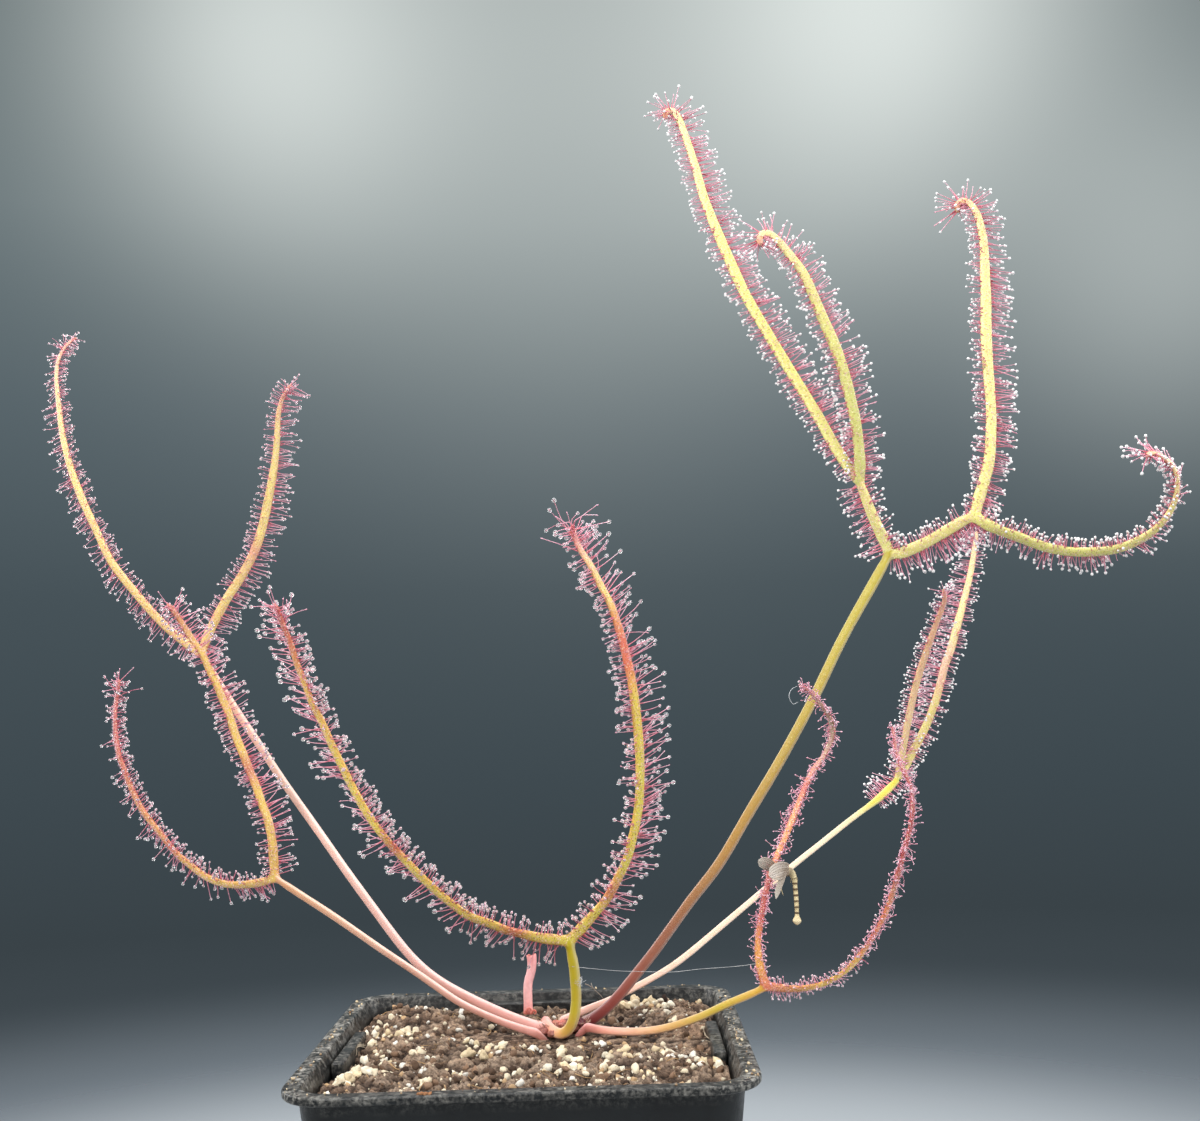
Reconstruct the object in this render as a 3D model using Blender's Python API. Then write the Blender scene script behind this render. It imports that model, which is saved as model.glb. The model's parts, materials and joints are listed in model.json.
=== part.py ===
"""Forked-leaf sundew growing in a 9 cm square nursery pot.

Metres, +Z up. The origin is the centre of the pot's underside, on its axis, and
-Y is the front. The leaves were measured along their centrelines in one front
view; VIEW_* holds that view, and each leaf gives its stations in it together
with the depth at which the leaf hangs behind (+) or in front of (-) the pot's axis.
"""
import math

import bmesh
import bpy
import numpy as np
from mathutils import Vector

MM = 0.001

# ---- pot, in mm
RIM = 90.0            # outer width of the square rim
POT_H = 95.0          # height of the pot
BASE = 64.0           # outer width of the foot
RIM_R = 10.0          # corner radius of the rim
BASE_R = 8.0          # corner radius of the foot
LIP_W = 3.5           # width of the flat lip
LIP_T = 1.7           # thickness of the lip
BODY_IN = 2.8         # how far the body stands in under the lip
WALL = 1.3            # wall thickness
FLOOR = 1.6           # thickness of the floor
HOLE_R = 4.5          # drainage holes
HOLE_AT = 19.0
LUG_L = 27.0          # the four stacking lugs inside the rim
LUG_T = 2.6
LUG_IN = 4.8          # lug's outer face, from the rim's outer edge
LUG_TOP = 1.6         # below the rim
LUG_H = 15.0

# ---- soil
SOIL_LEVEL = -4.6     # mean surface, from the rim
GAP = 0.3             # between touching pieces

# ---- the front view in which the leaves were measured
VIEW_FOCAL = 1400.0
VIEW_CENTRE = (600.0, 560.5)
VIEW_EYE = (19.0, -306.0, 71.0)        # from the rim's centre, mm
VIEW_TURN, VIEW_TILT, VIEW_ROLL = (math.radians(a) for a in (-0.25, 5.5, -1.84))


def view_axes():
    cy, sy = math.cos(VIEW_TURN), math.sin(VIEW_TURN)
    cp, sp = math.cos(VIEW_TILT), math.sin(VIEW_TILT)
    cr, sr = math.cos(VIEW_ROLL), math.sin(VIEW_ROLL)
    ahead = Vector((sy * cp, cy * cp, sp))
    right = Vector((cy, -sy, 0.0))
    up = right.cross(ahead)
    return right * cr + up * sr, up * cr - right * sr, ahead


RIGHT, UP, AHEAD = view_axes()
EYE = Vector(VIEW_EYE)


def at_depth(u, v, y):
    """The point seen at (u, v) whose depth is y, in mm from the pot's underside."""
    ray = AHEAD + RIGHT * ((u - VIEW_CENTRE[0]) / VIEW_FOCAL) - UP * ((v - VIEW_CENTRE[1]) / VIEW_FOCAL)
    p = EYE + ray * ((y - EYE.y) / ray.y)
    return Vector((p.x, p.y, p.z + POT_H))


# ---- centrelines: stations (u, v), then depth keys (fraction of the length, y)
LEAVES = {
    "leaf_front": {
        "stalk": ([(545, 1022), (548, 1026.5), (553, 1030.5), (560.5, 1033.8), (568, 1030), (573, 1021), (575.4, 1010), (576.2, 998), (575.5, 984), (573.9, 967), (570.5, 949), (569, 941)],
                  [(0, 20.6), (0.12, 14.6), (0.28, 10.8), (0.5, 9.2), (1, 6)]),
        "arms": [
            ([(569, 941), (555, 939.5), (541, 938), (523, 934), (506, 930), (490, 923.5), (469, 916), (447, 900), (424.5, 880), (405, 860), (385, 838), (368, 815), (354, 790), (343, 768), (332, 745), (321, 720), (312, 703), (304, 681), (297, 664), (291, 644), (284, 627), (278.6, 613), (274.4, 603.5)],
             [(0, 6), (0.35, 0), (0.7, -9), (1, -20)]),
            ([(569, 941), (578, 932), (587, 922), (596, 912), (604.6, 902), (612, 890), (618, 878), (624, 866), (629, 853), (632, 840), (636.5, 820), (639.4, 798), (640, 764), (638, 731), (635, 703), (631, 677), (625, 651), (619, 629), (611, 605), (601, 586), (591, 566), (580, 549), (574, 535), (572, 525)],
             [(0, 6), (0.3, 1), (0.65, -8), (1, -16)]),
        ],
        "stalk_w": (2.5, 2.5), "arm_w": 2.7, "tip_w": 1.5, "colour": (0.62, 0.52, 0.10)},
    "leaf_left_low": {
        "stalk": ([(534, 1032.4), (516, 1027), (497, 1020), (478, 1011.5), (457, 1001.5), (438.5, 988), (410.5, 968.5), (382, 950), (354, 930), (326, 911), (304, 897), (285, 884.5), (275, 878)],
                  [(0, 14.2), (0.3, 17), (0.6, 23), (1, 32)]),
        "arms": [
            ([(275, 878), (260, 882.5), (239, 885), (221, 883), (204.5, 876), (190, 865), (176, 853), (164, 838), (151, 822), (141, 808), (131, 787), (124, 769), (119, 755), (116, 736), (115, 718), (116, 702), (118, 691), (119, 679)],
             [(0, 32), (0.4, 38), (1, 46)]),
            ([(275, 878), (273.5, 857), (272, 840), (268, 820), (262, 804), (256.5, 787), (249, 769), (242, 751), (235, 734), (229, 714), (223, 700), (216, 683), (208, 667), (203, 655), (194, 642), (184, 626.5), (176, 614), (167, 603.6)],
             [(0, 32), (0.5, 28), (1, 20)]),
        ],
        "stalk_w": (1.9, 2.0), "arm_w": 2.4, "tip_w": 1.4, "colour": (0.70, 0.42, 0.20)},
    "leaf_left_high": {
        "stalk": ([(538.5, 1027), (524, 1022), (510, 1016.5), (483.6, 1005), (457, 991.5), (438.5, 980.5), (417, 965.5), (396, 943), (376, 908), (355.5, 883), (335, 857), (315, 828), (294, 798), (276, 771), (258, 742.5), (241, 718), (223, 689), (208, 666), (201.5, 654)],
                  [(0, 17.4), (0.2, 21.5), (0.5, 34), (1, 65)]),
        "arms": [
            ([(201.5, 654), (186, 643), (163, 624), (138, 596), (112, 563), (97, 532), (82, 499), (70, 466), (62.5, 435), (59, 407), (56.6, 382), (57.4, 364), (62.5, 351), (69, 343), (76.5, 337)],
             [(0, 65), (0.5, 74), (1, 84)]),
            ([(201.5, 654), (206, 640), (212, 626.5), (227, 598.5), (242, 575.5), (255, 550), (263, 524.5), (269, 496), (274, 468), (277, 440), (278, 417), (282, 399.5), (291, 384)],
             [(0, 65), (0.5, 62), (1, 54)]),
        ],
        "stalk_w": (2.5, 2.3), "arm_w": 2.7, "tip_w": 1.5, "colour": (0.74, 0.50, 0.22)},
    "leaf_right_high": {
        "stalk": ([(585.5, 1022.8), (594, 1018), (604.5, 1010), (619, 996), (635, 975.5), (653.5, 953), (666, 935), (682, 913), (696, 893), (720, 865), (743.5, 821), (773, 774), (802, 721), (820, 686), (843, 636), (867, 595), (886, 560), (889.5, 553)],
                  [(0, 21.0), (0.1, 19), (0.4, 17), (0.7, 18.5), (1, 22)]),
        "arms": [
            ([(889.5, 553), (882, 536), (873, 517), (863, 491), (859, 481)],
             [(0, 22), (1, 24)]),
            ([(859, 481), (850.5, 470), (834.5, 446), (819, 418), (799.5, 386), (780, 354), (761, 322), (745, 294), (729, 259), (716.5, 230), (704, 198), (696, 169), (688, 144), (681.5, 125), (675, 113), (669, 110.5), (665.5, 114), (666.5, 120)],
             [(0, 24), (0.5, 34), (1, 42)]),
            ([(859, 483), (860, 463), (857, 431), (852, 405), (844, 373), (834.5, 345), (823, 319), (814, 297), (804, 274.5), (793, 259), (780, 243), (770, 234), (762, 234), (759.5, 240), (762, 246)],
             [(0, 24), (0.5, 17), (1, 9)]),
            ([(889.5, 553), (898, 554), (908, 550.5), (927, 542), (946, 531), (962, 521.5), (975, 515)],
             [(0, 22), (1, 19)]),
            ([(975, 515), (979, 498), (983, 485), (989, 461), (991, 434), (991, 408), (989, 381), (987, 354), (986, 327), (986, 300), (985, 274), (984, 247), (980.5, 225), (975, 210), (967, 201.5), (959.5, 202), (957, 208), (960, 213)],
             [(0, 19), (0.5, 24), (1, 32)]),
            ([(973, 516), (985, 523), (999, 530), (1021, 538), (1042, 546), (1064, 551), (1088, 552), (1112, 550), (1133, 543), (1152, 532), (1168, 515), (1176, 496), (1177, 477), (1171, 464), (1160, 455.5), (1151, 453), (1146, 457)],
             [(0, 19), (0.4, 12), (1, -2)]),
        ],
        "stalk_w": (2.9, 2.9), "arm_w": 2.9, "tip_w": 1.6, "colour": (0.68, 0.66, 0.08)},
    "leaf_right_back": {
        "stalk": ([(564, 1020.5), (581, 1011.5), (602, 1003.5), (623, 994), (658, 975), (682, 960), (720, 927), (749, 903), (793, 865), (823, 842), (852, 818), (873, 803.5), (886, 792), (898, 779)],
                  [(0, 23.4), (0.1, 26), (0.4, 46), (1, 90)]),
        "arms": [
            ([(898, 779), (906, 765), (915, 747.5), (926, 726), (935, 703), (940, 685), (945, 665), (951, 649), (958, 622.5), (965, 596), (971, 571), (974.5, 548), (976.5, 531)],
             [(0, 90), (1, 100)]),
            ([(898, 779), (900, 766), (902.5, 752), (905, 738), (907.5, 724), (911, 707), (915, 689), (920, 671), (926, 653), (931.5, 637), (938, 619), (943, 606), (945, 597.5), (943, 589)],
             [(0, 90), (0.5, 84), (1, 76)]),
        ],
        "stalk_w": (2.3, 2.2), "arm_w": 2.6, "tip_w": 1.5, "colour": (0.76, 0.62, 0.30)},
    "leaf_right_low": {
        "stalk": ([(588.5, 1027.6), (597, 1029.4), (609, 1031), (630, 1032), (651, 1031), (669, 1027.3), (686, 1022), (700, 1017), (714, 1010.5), (728, 1003.5), (742, 998), (756, 992), (766, 987)],
                  [(0, 16.6), (0.12, 12.9), (0.35, 11.4), (0.6, 8), (1, 3)]),
        "arms": [
            ([(766, 987), (762, 974), (759, 960), (758, 941), (761, 918), (765.5, 894), (770, 874), (777, 856), (784.5, 839), (793, 818), (802, 795), (811, 774), (823, 757), (831.5, 739), (832, 724), (826, 711), (817, 700), (808, 690), (799, 685.5)],
             [(0, 3), (0.4, 6), (0.75, 9), (1, 8)]),
            ([(766, 987), (775, 987), (786, 988.5), (802, 988.5), (820, 985), (837, 977), (852, 965), (864, 950), (875.5, 932), (886, 912), (893, 891.5), (899, 871), (905, 847.5), (911, 824), (912.5, 803.5), (910, 784), (902, 768), (896, 751), (894.5, 738), (892, 726)],
             [(0, 3), (0.35, -5), (0.7, -8), (1, -2)]),
        ],
        "stalk_w": (1.9, 1.8), "arm_w": 2.3, "tip_w": 1.3, "colour": (0.66, 0.30, 0.12)},
}

STUB = ([(528.5, 1014), (528, 1000), (528, 984), (531, 972), (532, 963), (531.4, 955.5)], [(0, 28.5), (1, 30)])

# ---- the crane fly stuck on the lower right leaf
FLY_BODY = ([(771, 866), (776, 871), (783, 872.5), (790, 872), (794, 878), (795.5, 890), (796.5, 903), (797, 915), (797, 925)], [(0, 3.4), (0.25, 2.2), (0.5, 1.6), (1, 1.0)])
FLY_WINGS = {
    "fly_wing_upper": ([(774, 869), (767, 864), (758, 861)], [(0, 0.9), (1, -1.5)], 2.2),
    "fly_wing_lower": ([(786, 868), (782, 879), (778, 890), (776, 899)], [(0, -1.0), (1, -2.2)], 1.9),
}


# ---- helpers
def clear():
    for obj in list(bpy.data.objects):
        bpy.data.objects.remove(obj, do_unlink=True)


def material(name, rgb, rough, metallic=0.0):
    m = bpy.data.materials.new(name)
    m.use_nodes = True
    b = m.node_tree.nodes["Principled BSDF"]
    b.inputs["Base Color"].default_value = (*rgb, 1.0)
    b.inputs["Roughness"].default_value = rough
    b.inputs["Metallic"].default_value = metallic
    return m


def made(name, bm, mat, parent=None, helper=False):
    bmesh.ops.recalc_face_normals(bm, faces=bm.faces)
    mesh = bpy.data.meshes.new(name)
    bm.to_mesh(mesh)
    bm.free()
    mesh.materials.append(mat)
    mesh.shade_smooth()
    mesh.set_sharp_from_angle(angle=math.radians(40))
    obj = bpy.data.objects.new(name, mesh)
    bpy.context.scene.collection.objects.link(obj)
    if parent:
        obj.parent = parent
    if helper:
        obj.hide_render = True
        obj.display_type = "WIRE"
    return obj


def boolean(obj, tool, operation):
    mod = obj.modifiers.new(operation.lower() + "_" + tool.name, "BOOLEAN")
    mod.operation = operation
    mod.solver = "EXACT"
    mod.object = tool


def keyed(keys, f):
    """Smooth value at fraction f through (fraction, value) keys."""
    xs = [k[0] for k in keys]
    ys = [k[1] for k in keys]
    for i in range(len(xs) - 1):
        if f <= xs[i + 1] or i == len(xs) - 2:
            h = xs[i + 1] - xs[i]
            t = min(1.0, max(0.0, (f - xs[i]) / h))
            m0 = (ys[i + 1] - ys[i - 1]) / (xs[i + 1] - xs[i - 1]) * h if i else (ys[1] - ys[0])
            m1 = (ys[i + 2] - ys[i]) / (xs[i + 2] - xs[i]) * h if i < len(xs) - 2 else (ys[i + 1] - ys[i])
            return ((2 * t ** 3 - 3 * t * t + 1) * ys[i] + (t ** 3 - 2 * t * t + t) * m0
                    + (3 * t * t - 2 * t ** 3) * ys[i + 1] + (t ** 3 - t * t) * m1)
    return ys[-1]


def centreline(stations, depths, step):
    """Even points, step mm apart, on a smooth curve through the stations."""
    flat = [Vector((u, v)) for u, v in stations]
    run = [0.0]
    for a, b in zip(flat, flat[1:]):
        run.append(run[-1] + (b - a).length)
    pts = [at_depth(u, v, keyed(depths, r / run[-1])) for (u, v), r in zip(stations, run)]
    fine = []
    for i in range(len(pts) - 1):
        p0 = pts[i - 1] if i else pts[0] * 2 - pts[1]
        p1, p2 = pts[i], pts[i + 1]
        p3 = pts[i + 2] if i + 2 < len(pts) else pts[-1] * 2 - pts[-2]
        for k in range(12):
            t = k / 12
            fine.append(0.5 * (2 * p1 + (p2 - p0) * t + (2 * p0 - 5 * p1 + 4 * p2 - p3) * t * t
                               + (3 * p1 - p0 - 3 * p2 + p3) * t ** 3))
    fine.append(pts[-1])
    for _ in range(6):
        fine = [fine[0]] + [(a + 2 * b + c) / 4 for a, b, c in zip(fine, fine[1:], fine[2:])] + [fine[-1]]
    at = [0.0]
    for a, b in zip(fine, fine[1:]):
        at.append(at[-1] + (b - a).length)
    n = max(3, round(at[-1] / step))
    out, j = [], 0
    for k in range(n + 1):
        s = at[-1] * k / n
        while j < len(at) - 2 and at[j + 1] < s:
            j += 1
        out.append(fine[j].lerp(fine[j + 1], (s - at[j]) / max(1e-9, at[j + 1] - at[j])))
    return out


def ribbon(path, width, thick, sides=8):
    """Closed tube of flattened section along path, its flat side to the front; widths in mm by fraction."""
    bm = bmesh.new()
    rings = []
    for i, p in enumerate(path):
        f = i / (len(path) - 1)
        t = (path[min(i + 1, len(path) - 1)] - path[max(i - 1, 0)]).normalized()
        front = Vector((0, -1, 0.0))
        n = (front - t * front.dot(t)).normalized()
        s = t.cross(n)
        w, h = width(f) / 2, thick(f) / 2
        rings.append([bm.verts.new((p + s * (w * math.cos(a)) + n * (h * math.sin(a))) * MM)
                      for a in (2 * math.pi * (k + 0.5) / sides for k in range(sides))])
    for a, b in zip(rings, rings[1:]):
        for k in range(sides):
            bm.faces.new((a[k], a[(k + 1) % sides], b[(k + 1) % sides], b[k]))
    bm.faces.new(rings[0][::-1])
    bm.faces.new(rings[-1])
    return bm


def rounded_square(width, radius, z, per_corner=6, along=0):
    """Points of a rounded square ring, anticlockwise, in mm, with extra ones along its straight sides."""
    h = width / 2 - radius
    centres = ((h, h), (-h, h), (-h, -h), (h, -h))
    pts = []
    for q in range(4):
        cx, cy = centres[q]
        for k in range(per_corner + 1):
            a = math.pi / 2 * (q + k / per_corner)
            pts.append(Vector((cx + radius * math.cos(a), cy + radius * math.sin(a), z)))
        nx, ny = centres[(q + 1) % 4]
        for k in range(1, along + 1):
            f = k / (along + 1)
            pts.append(pts[-k].lerp(Vector((nx + radius * math.cos(a), ny + radius * math.sin(a), z)), f))
    return pts


def loft(bm, rings, close_first=True, close_last=True):
    vs = [[bm.verts.new(p * MM) for p in ring] for ring in rings]
    n = len(vs[0])
    for a, b in zip(vs, vs[1:]):
        for k in range(n):
            bm.faces.new((a[k], a[(k + 1) % n], b[(k + 1) % n], b[k]))
    if close_first:
        bm.faces.new(vs[0][::-1])
    if close_last:
        bm.faces.new(vs[-1])
    return vs


def block(bm, lo, hi):
    """Axis-aligned box from lo to hi, mm."""
    vs = [bm.verts.new(Vector((x, y, z)) * MM) for z in (lo[2], hi[2]) for x, y in ((lo[0], lo[1]), (hi[0], lo[1]), (hi[0], hi[1]), (lo[0], hi[1]))]
    for f in ((3, 2, 1, 0), (4, 5, 6, 7), (0, 1, 5, 4), (1, 2, 6, 5), (2, 3, 7, 6), (3, 0, 4, 7)):
        bm.faces.new([vs[k] for k in f])


def body_width(z, inset=0.0):
    """Outer width of the tapering body at height z, less twice the inset."""
    top = RIM - 2 * BODY_IN
    return BASE + (top - BASE) * z / POT_H - 2 * inset


def body_radius(z, inset=0.0):
    return max(1.0, BASE_R + (RIM_R - BODY_IN - BASE_R) * z / POT_H - inset)


# ---- the pot
def build_pot(parent):
    mat = material("black_plastic", (0.018, 0.021, 0.026), 0.42)
    bm = bmesh.new()
    lip_z = POT_H - LIP_T
    edge = 0.5
    rings = [
        rounded_square(body_width(0, 1.0), body_radius(0, 1.0), 0),
        rounded_square(body_width(1.0), body_radius(1.0), 1.0),
        rounded_square(body_width(POT_H * 0.5), body_radius(POT_H * 0.5), POT_H * 0.5),
        rounded_square(body_width(lip_z), body_radius(lip_z), lip_z),
        rounded_square(RIM - 2 * edge, RIM_R - edge, lip_z),
        rounded_square(RIM, RIM_R, lip_z + edge),
        rounded_square(RIM, RIM_R, POT_H - edge),
        rounded_square(RIM - 2 * edge, RIM_R - edge, POT_H),
        rounded_square(RIM - 2 * LIP_W, RIM_R - LIP_W, POT_H),
        rounded_square(body_width(lip_z - 1, WALL), body_radius(lip_z, WALL), lip_z - 1),
        rounded_square(body_width(POT_H * 0.5, WALL), body_radius(POT_H * 0.5, WALL), POT_H * 0.5),
        rounded_square(body_width(FLOOR, WALL), body_radius(FLOOR, WALL), FLOOR),
    ]
    loft(bm, rings)
    pot = made("pot", bm, mat, parent)

    # stacking lugs, one in the middle of each side, standing free of the lip at the top
    for k in range(4):
        bm = bmesh.new()
        top = POT_H - LUG_TOP
        block(bm, (-LUG_L / 2, -RIM / 2 + LUG_IN, top - LUG_H), (LUG_L / 2, -RIM / 2 + LUG_IN + LUG_T, top))
        bmesh.ops.bevel(bm, geom=[e for e in bm.edges], offset=0.35 * MM, segments=1, affect="EDGES")
        lug = made(f"lug_shape_{k}", bm, mat, parent, helper=True)
        lug.rotation_euler = (0, 0, k * math.pi / 2)
        boolean(pot, lug, "UNION")

    # drainage holes near the corners of the floor
    for k, (sx, sy) in enumerate(((1, 1), (-1, 1), (-1, -1), (1, -1))):
        bm = bmesh.new()
        bmesh.ops.create_cone(bm, cap_ends=True, segments=16, radius1=HOLE_R * MM, radius2=HOLE_R * MM, depth=12 * MM)
        hole = made(f"hole_cutter_{k}", bm, mat, parent, helper=True)
        hole.location = (sx * HOLE_AT * MM, sy * HOLE_AT * MM, 0)
        boolean(pot, hole, "DIFFERENCE")
    return pot


# ---- the soil: mounds and hollows, kept low where the stalks lie on it
MOUNDS = [(-22, 6, 1.9, 9), (-4, 0, 1.5, 8), (24, -14, 0.9, 8), (-30, -20, 1.2, 8), (30, 24, 1.5, 9), (-27, 30, 1.4, 9), (8, -22, 0.8, 9),
          (-12, 22, 0.6, 7), (12, 31, 0.9, 6), (-34, 10, 0.8, 6), (10, -4, -1.0, 5), (-12, -14, -0.9, 6), (32, 4, -0.8, 6)]
STALK_BEDS = [((1.9, 21.2), (5.6, 11.5)), ((5.6, 11.5), (8, 10)), ((0.5, 17.2), (-12, 19.5)), ((-0.8, 14.2), (-14, 16.5)),
              ((12, 16.8), (17, 12.5)), ((17, 12.5), (28, 11)), ((28, 11), (40, 5)), ((12, 21), (18, 19.5)), ((6.5, 23.4), (14, 27)), ((4, 19), (11, 19))]


def soil_height(x, y):
    z = SOIL_LEVEL + sum(h * math.exp(-((x - cx) ** 2 + (y - cy) ** 2) / (r * r)) for cx, cy, h, r in MOUNDS)
    z += 0.25 * math.sin(x * 0.61 + 1.3) * math.sin(y * 0.53 + 0.4) + 0.15 * math.sin(x * 1.3 - y * 0.9)
    for (ax, ay), (bx, by) in STALK_BEDS:
        t = min(1, max(0, ((x - ax) * (bx - ax) + (y - ay) * (by - ay)) / ((bx - ax) ** 2 + (by - ay) ** 2)))
        d = math.hypot(x - ax - t * (bx - ax), y - ay - t * (by - ay))
        k = min(1.0, max(0.0, (8.0 - d) / 3.0))
        z = z * (1 - k) + min(z, SOIL_LEVEL - 0.3) * k
    return z


def build_soil(parent):
    mat = material("peat", (0.17, 0.12, 0.09), 0.95)
    bm = bmesh.new()
    inset = WALL + GAP
    top = POT_H - 6.5
    rings = [rounded_square(body_width(z, inset), body_radius(z, inset), z, 4, 8)
             for z in (FLOOR + GAP, POT_H * 0.5, top)]
    edge = rounded_square(body_width(top, inset), body_radius(top, inset), top, 4, 8)
    rings.append([Vector((p.x, p.y, POT_H + min(-4.2, soil_height(p.x, p.y)))) for p in edge])
    for k in range(1, 14):
        f = 1 - k / 14
        rings.append([Vector((p.x * f, p.y * f, POT_H + soil_height(p.x * f, p.y * f))) for p in edge])
    # the innermost ring closes onto one point
    vs = loft(bm, rings, close_last=False)
    centre = bm.verts.new(Vector((0, 0, POT_H + soil_height(0, 0))) * MM)
    last = vs[-1]
    for k in range(len(last)):
        bm.faces.new((last[k], last[(k + 1) % len(last)], centre))
    bmesh.ops.triangulate(bm, faces=bm.faces)
    soil = made("soil", bm, mat, parent)
    for k in range(4):
        bm = bmesh.new()
        t = POT_H - LUG_TOP
        block(bm, (-LUG_L / 2 - GAP, -RIM / 2 + LUG_IN - 4, t - LUG_H - GAP), (LUG_L / 2 + GAP, -RIM / 2 + LUG_IN + LUG_T + GAP, t + 3))
        cut = made(f"lug_clearance_{k}", bm, mat, parent, helper=True)
        cut.rotation_euler = (0, 0, k * math.pi / 2)
        boolean(soil, cut, "DIFFERENCE")
    return soil


# ---- the crown from which the leaves spring
def build_crown(parent):
    mat = material("crown_tissue", (0.16, 0.045, 0.035), 0.6)
    bm = bmesh.new()
    bmesh.ops.create_icosphere(bm, subdivisions=3, radius=1.0)
    for v in bm.verts:
        d = v.co.normalized()
        k = 1 + 0.10 * math.sin(5 * math.atan2(d.y, d.x) + 0.7) * (1 - d.z * d.z) + 0.05 * math.sin(9 * d.x + 4 * d.y)
        v.co = Vector((7.7 + 2.7 * k * d.x, 18.9 + 2.3 * k * d.y, POT_H - 3.0 + 1.25 * k * d.z)) * MM
    return made("crown", bm, mat, parent)


# ---- leaves
STEP = 4.5            # mm between sections


def build_leaf(name, spec, parent):
    mat = material(name + "_green", spec["colour"], 0.45)
    w0, w1 = spec["stalk_w"]
    path = centreline(*spec["stalk"], STEP)
    leaf = made(name, ribbon(path, lambda f: w0 + (w1 - w0) * f, lambda f: 0.72 * (w0 + (w1 - w0) * f)), mat, parent)
    for k, (stations, depths) in enumerate(spec["arms"]):
        path = centreline(stations, depths, STEP)
        inner = len(stations) < 8      # a short piece between two forks keeps its width
        full, tip = spec["arm_w"], spec["arm_w"] if inner else spec["tip_w"]
        width = lambda f, full=full, tip=tip: full + (tip - full) * max(0.0, (f - 0.55) / 0.45) ** 1.4
        arm = made(f"{name}_arm_{k}", ribbon(path, width, lambda f, w=width: 0.5 * w(f)), mat, parent, helper=True)
        boolean(leaf, arm, "UNION")
    return leaf


def build_stub(parent):
    """A cut leaf stalk, hollow at the cut."""
    mat = material("stub_pink", (0.72, 0.34, 0.30), 0.5)
    path = centreline(*STUB, 2.5)
    stub = made("petiole_stub", ribbon(path, lambda f: 2.1 + 0.25 * max(0, f - 0.8) / 0.2, lambda f: 1.9, 10), mat, parent)
    top, below = path[-1], path[-2]
    axis = (top - below).normalized()
    bore = [top - axis * 1.6, top - axis * 0.4, top + axis * 1.0]
    boolean(stub, made("stub_bore", ribbon(bore, lambda f: 0.75 + 0.5 * f, lambda f: 0.65 + 0.45 * f, 8), mat, parent, helper=True), "DIFFERENCE")
    return stub


# ---- the caught crane fly
def build_fly(parent):
    mat = material("fly_body_brown", (0.30, 0.22, 0.14), 0.7)
    wing = material("fly_wing_film", (0.62, 0.58, 0.52), 0.35)
    path = centreline(*FLY_BODY, 0.9)

    def girth(f):
        return 0.55 + 1.0 * math.exp(-((f - 0.22) / 0.13) ** 2) + 0.45 * math.exp(-((f - 0.03) / 0.06) ** 2) + 0.45 * math.exp(-((f - 0.96) / 0.07) ** 2)
    made("fly_body", ribbon(path, girth, lambda f: 0.9 * girth(f)), mat, parent)
    for name, (stations, depths, w) in FLY_WINGS.items():
        path = centreline(stations, depths, 0.9)
        made(name, ribbon(path, lambda f, w=w: w * (0.25 + 0.75 * math.sin(math.pi * min(1, 0.12 + 0.8 * f)) ** 0.7), lambda f: 0.3, 6), wing, parent)


def build():
    clear()
    plant = bpy.data.objects.new("sundew_in_pot", None)
    bpy.context.scene.collection.objects.link(plant)
    build_pot(plant)
    build_soil(plant)
    build_crown(plant)
    for name, spec in LEAVES.items():
        build_leaf(name, spec, plant)
    build_stub(plant)
    build_fly(plant)


build()
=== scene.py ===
"""Looks for the forked-leaf sundew growing in a 9 cm square nursery pot.

The numbers of the pot, the soil, the front view and the leaves' stations are the
CAD's own. Lengths are in mm here and become metres when a mesh is made.
"""
import json
import math
import bmesh
import bpy
import numpy as np
from mathutils import Matrix, Vector, kdtree

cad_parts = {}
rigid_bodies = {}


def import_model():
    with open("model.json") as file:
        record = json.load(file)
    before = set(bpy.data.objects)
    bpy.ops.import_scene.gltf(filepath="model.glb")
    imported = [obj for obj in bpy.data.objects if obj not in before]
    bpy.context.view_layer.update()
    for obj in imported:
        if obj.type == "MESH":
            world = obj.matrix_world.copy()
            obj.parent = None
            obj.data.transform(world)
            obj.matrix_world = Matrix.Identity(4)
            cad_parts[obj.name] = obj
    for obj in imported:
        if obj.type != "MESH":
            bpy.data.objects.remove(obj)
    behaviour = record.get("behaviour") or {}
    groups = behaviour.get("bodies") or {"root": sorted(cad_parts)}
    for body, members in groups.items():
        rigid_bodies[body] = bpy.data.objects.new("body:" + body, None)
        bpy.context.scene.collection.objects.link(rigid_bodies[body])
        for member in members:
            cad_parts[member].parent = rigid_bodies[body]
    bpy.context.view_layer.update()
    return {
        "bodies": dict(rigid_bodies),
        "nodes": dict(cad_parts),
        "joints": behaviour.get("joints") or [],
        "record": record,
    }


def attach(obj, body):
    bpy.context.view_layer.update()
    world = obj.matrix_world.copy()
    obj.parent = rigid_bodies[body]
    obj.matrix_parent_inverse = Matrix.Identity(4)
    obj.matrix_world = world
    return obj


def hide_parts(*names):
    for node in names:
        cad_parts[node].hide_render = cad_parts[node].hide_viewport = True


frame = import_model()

MM = 0.001
UV = "OFBake"

# ---- pot, in mm
RIM, POT_H, BASE = 90.0, 95.0, 64.0
RIM_R, BASE_R = 10.0, 8.0
LIP_W, LIP_T, BODY_IN = 3.5, 1.7, 2.8
WALL, FLOOR = 1.3, 1.6
HOLE_R, HOLE_AT = 4.5, 19.0
LUG_L, LUG_T, LUG_IN, LUG_TOP, LUG_H = 27.0, 2.6, 4.8, 1.6, 15.0
SOIL_LEVEL = -4.6
GAP = 0.3

# ---- the front view in which the leaves were measured
VIEW_FOCAL = 1400.0
VIEW_CENTRE = (600.0, 560.5)
VIEW_EYE = (19.0, -306.0, 71.0)        # from the rim's centre
VIEW_TURN, VIEW_TILT, VIEW_ROLL = (math.radians(a) for a in (-0.25, 5.5, -1.84))


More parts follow.
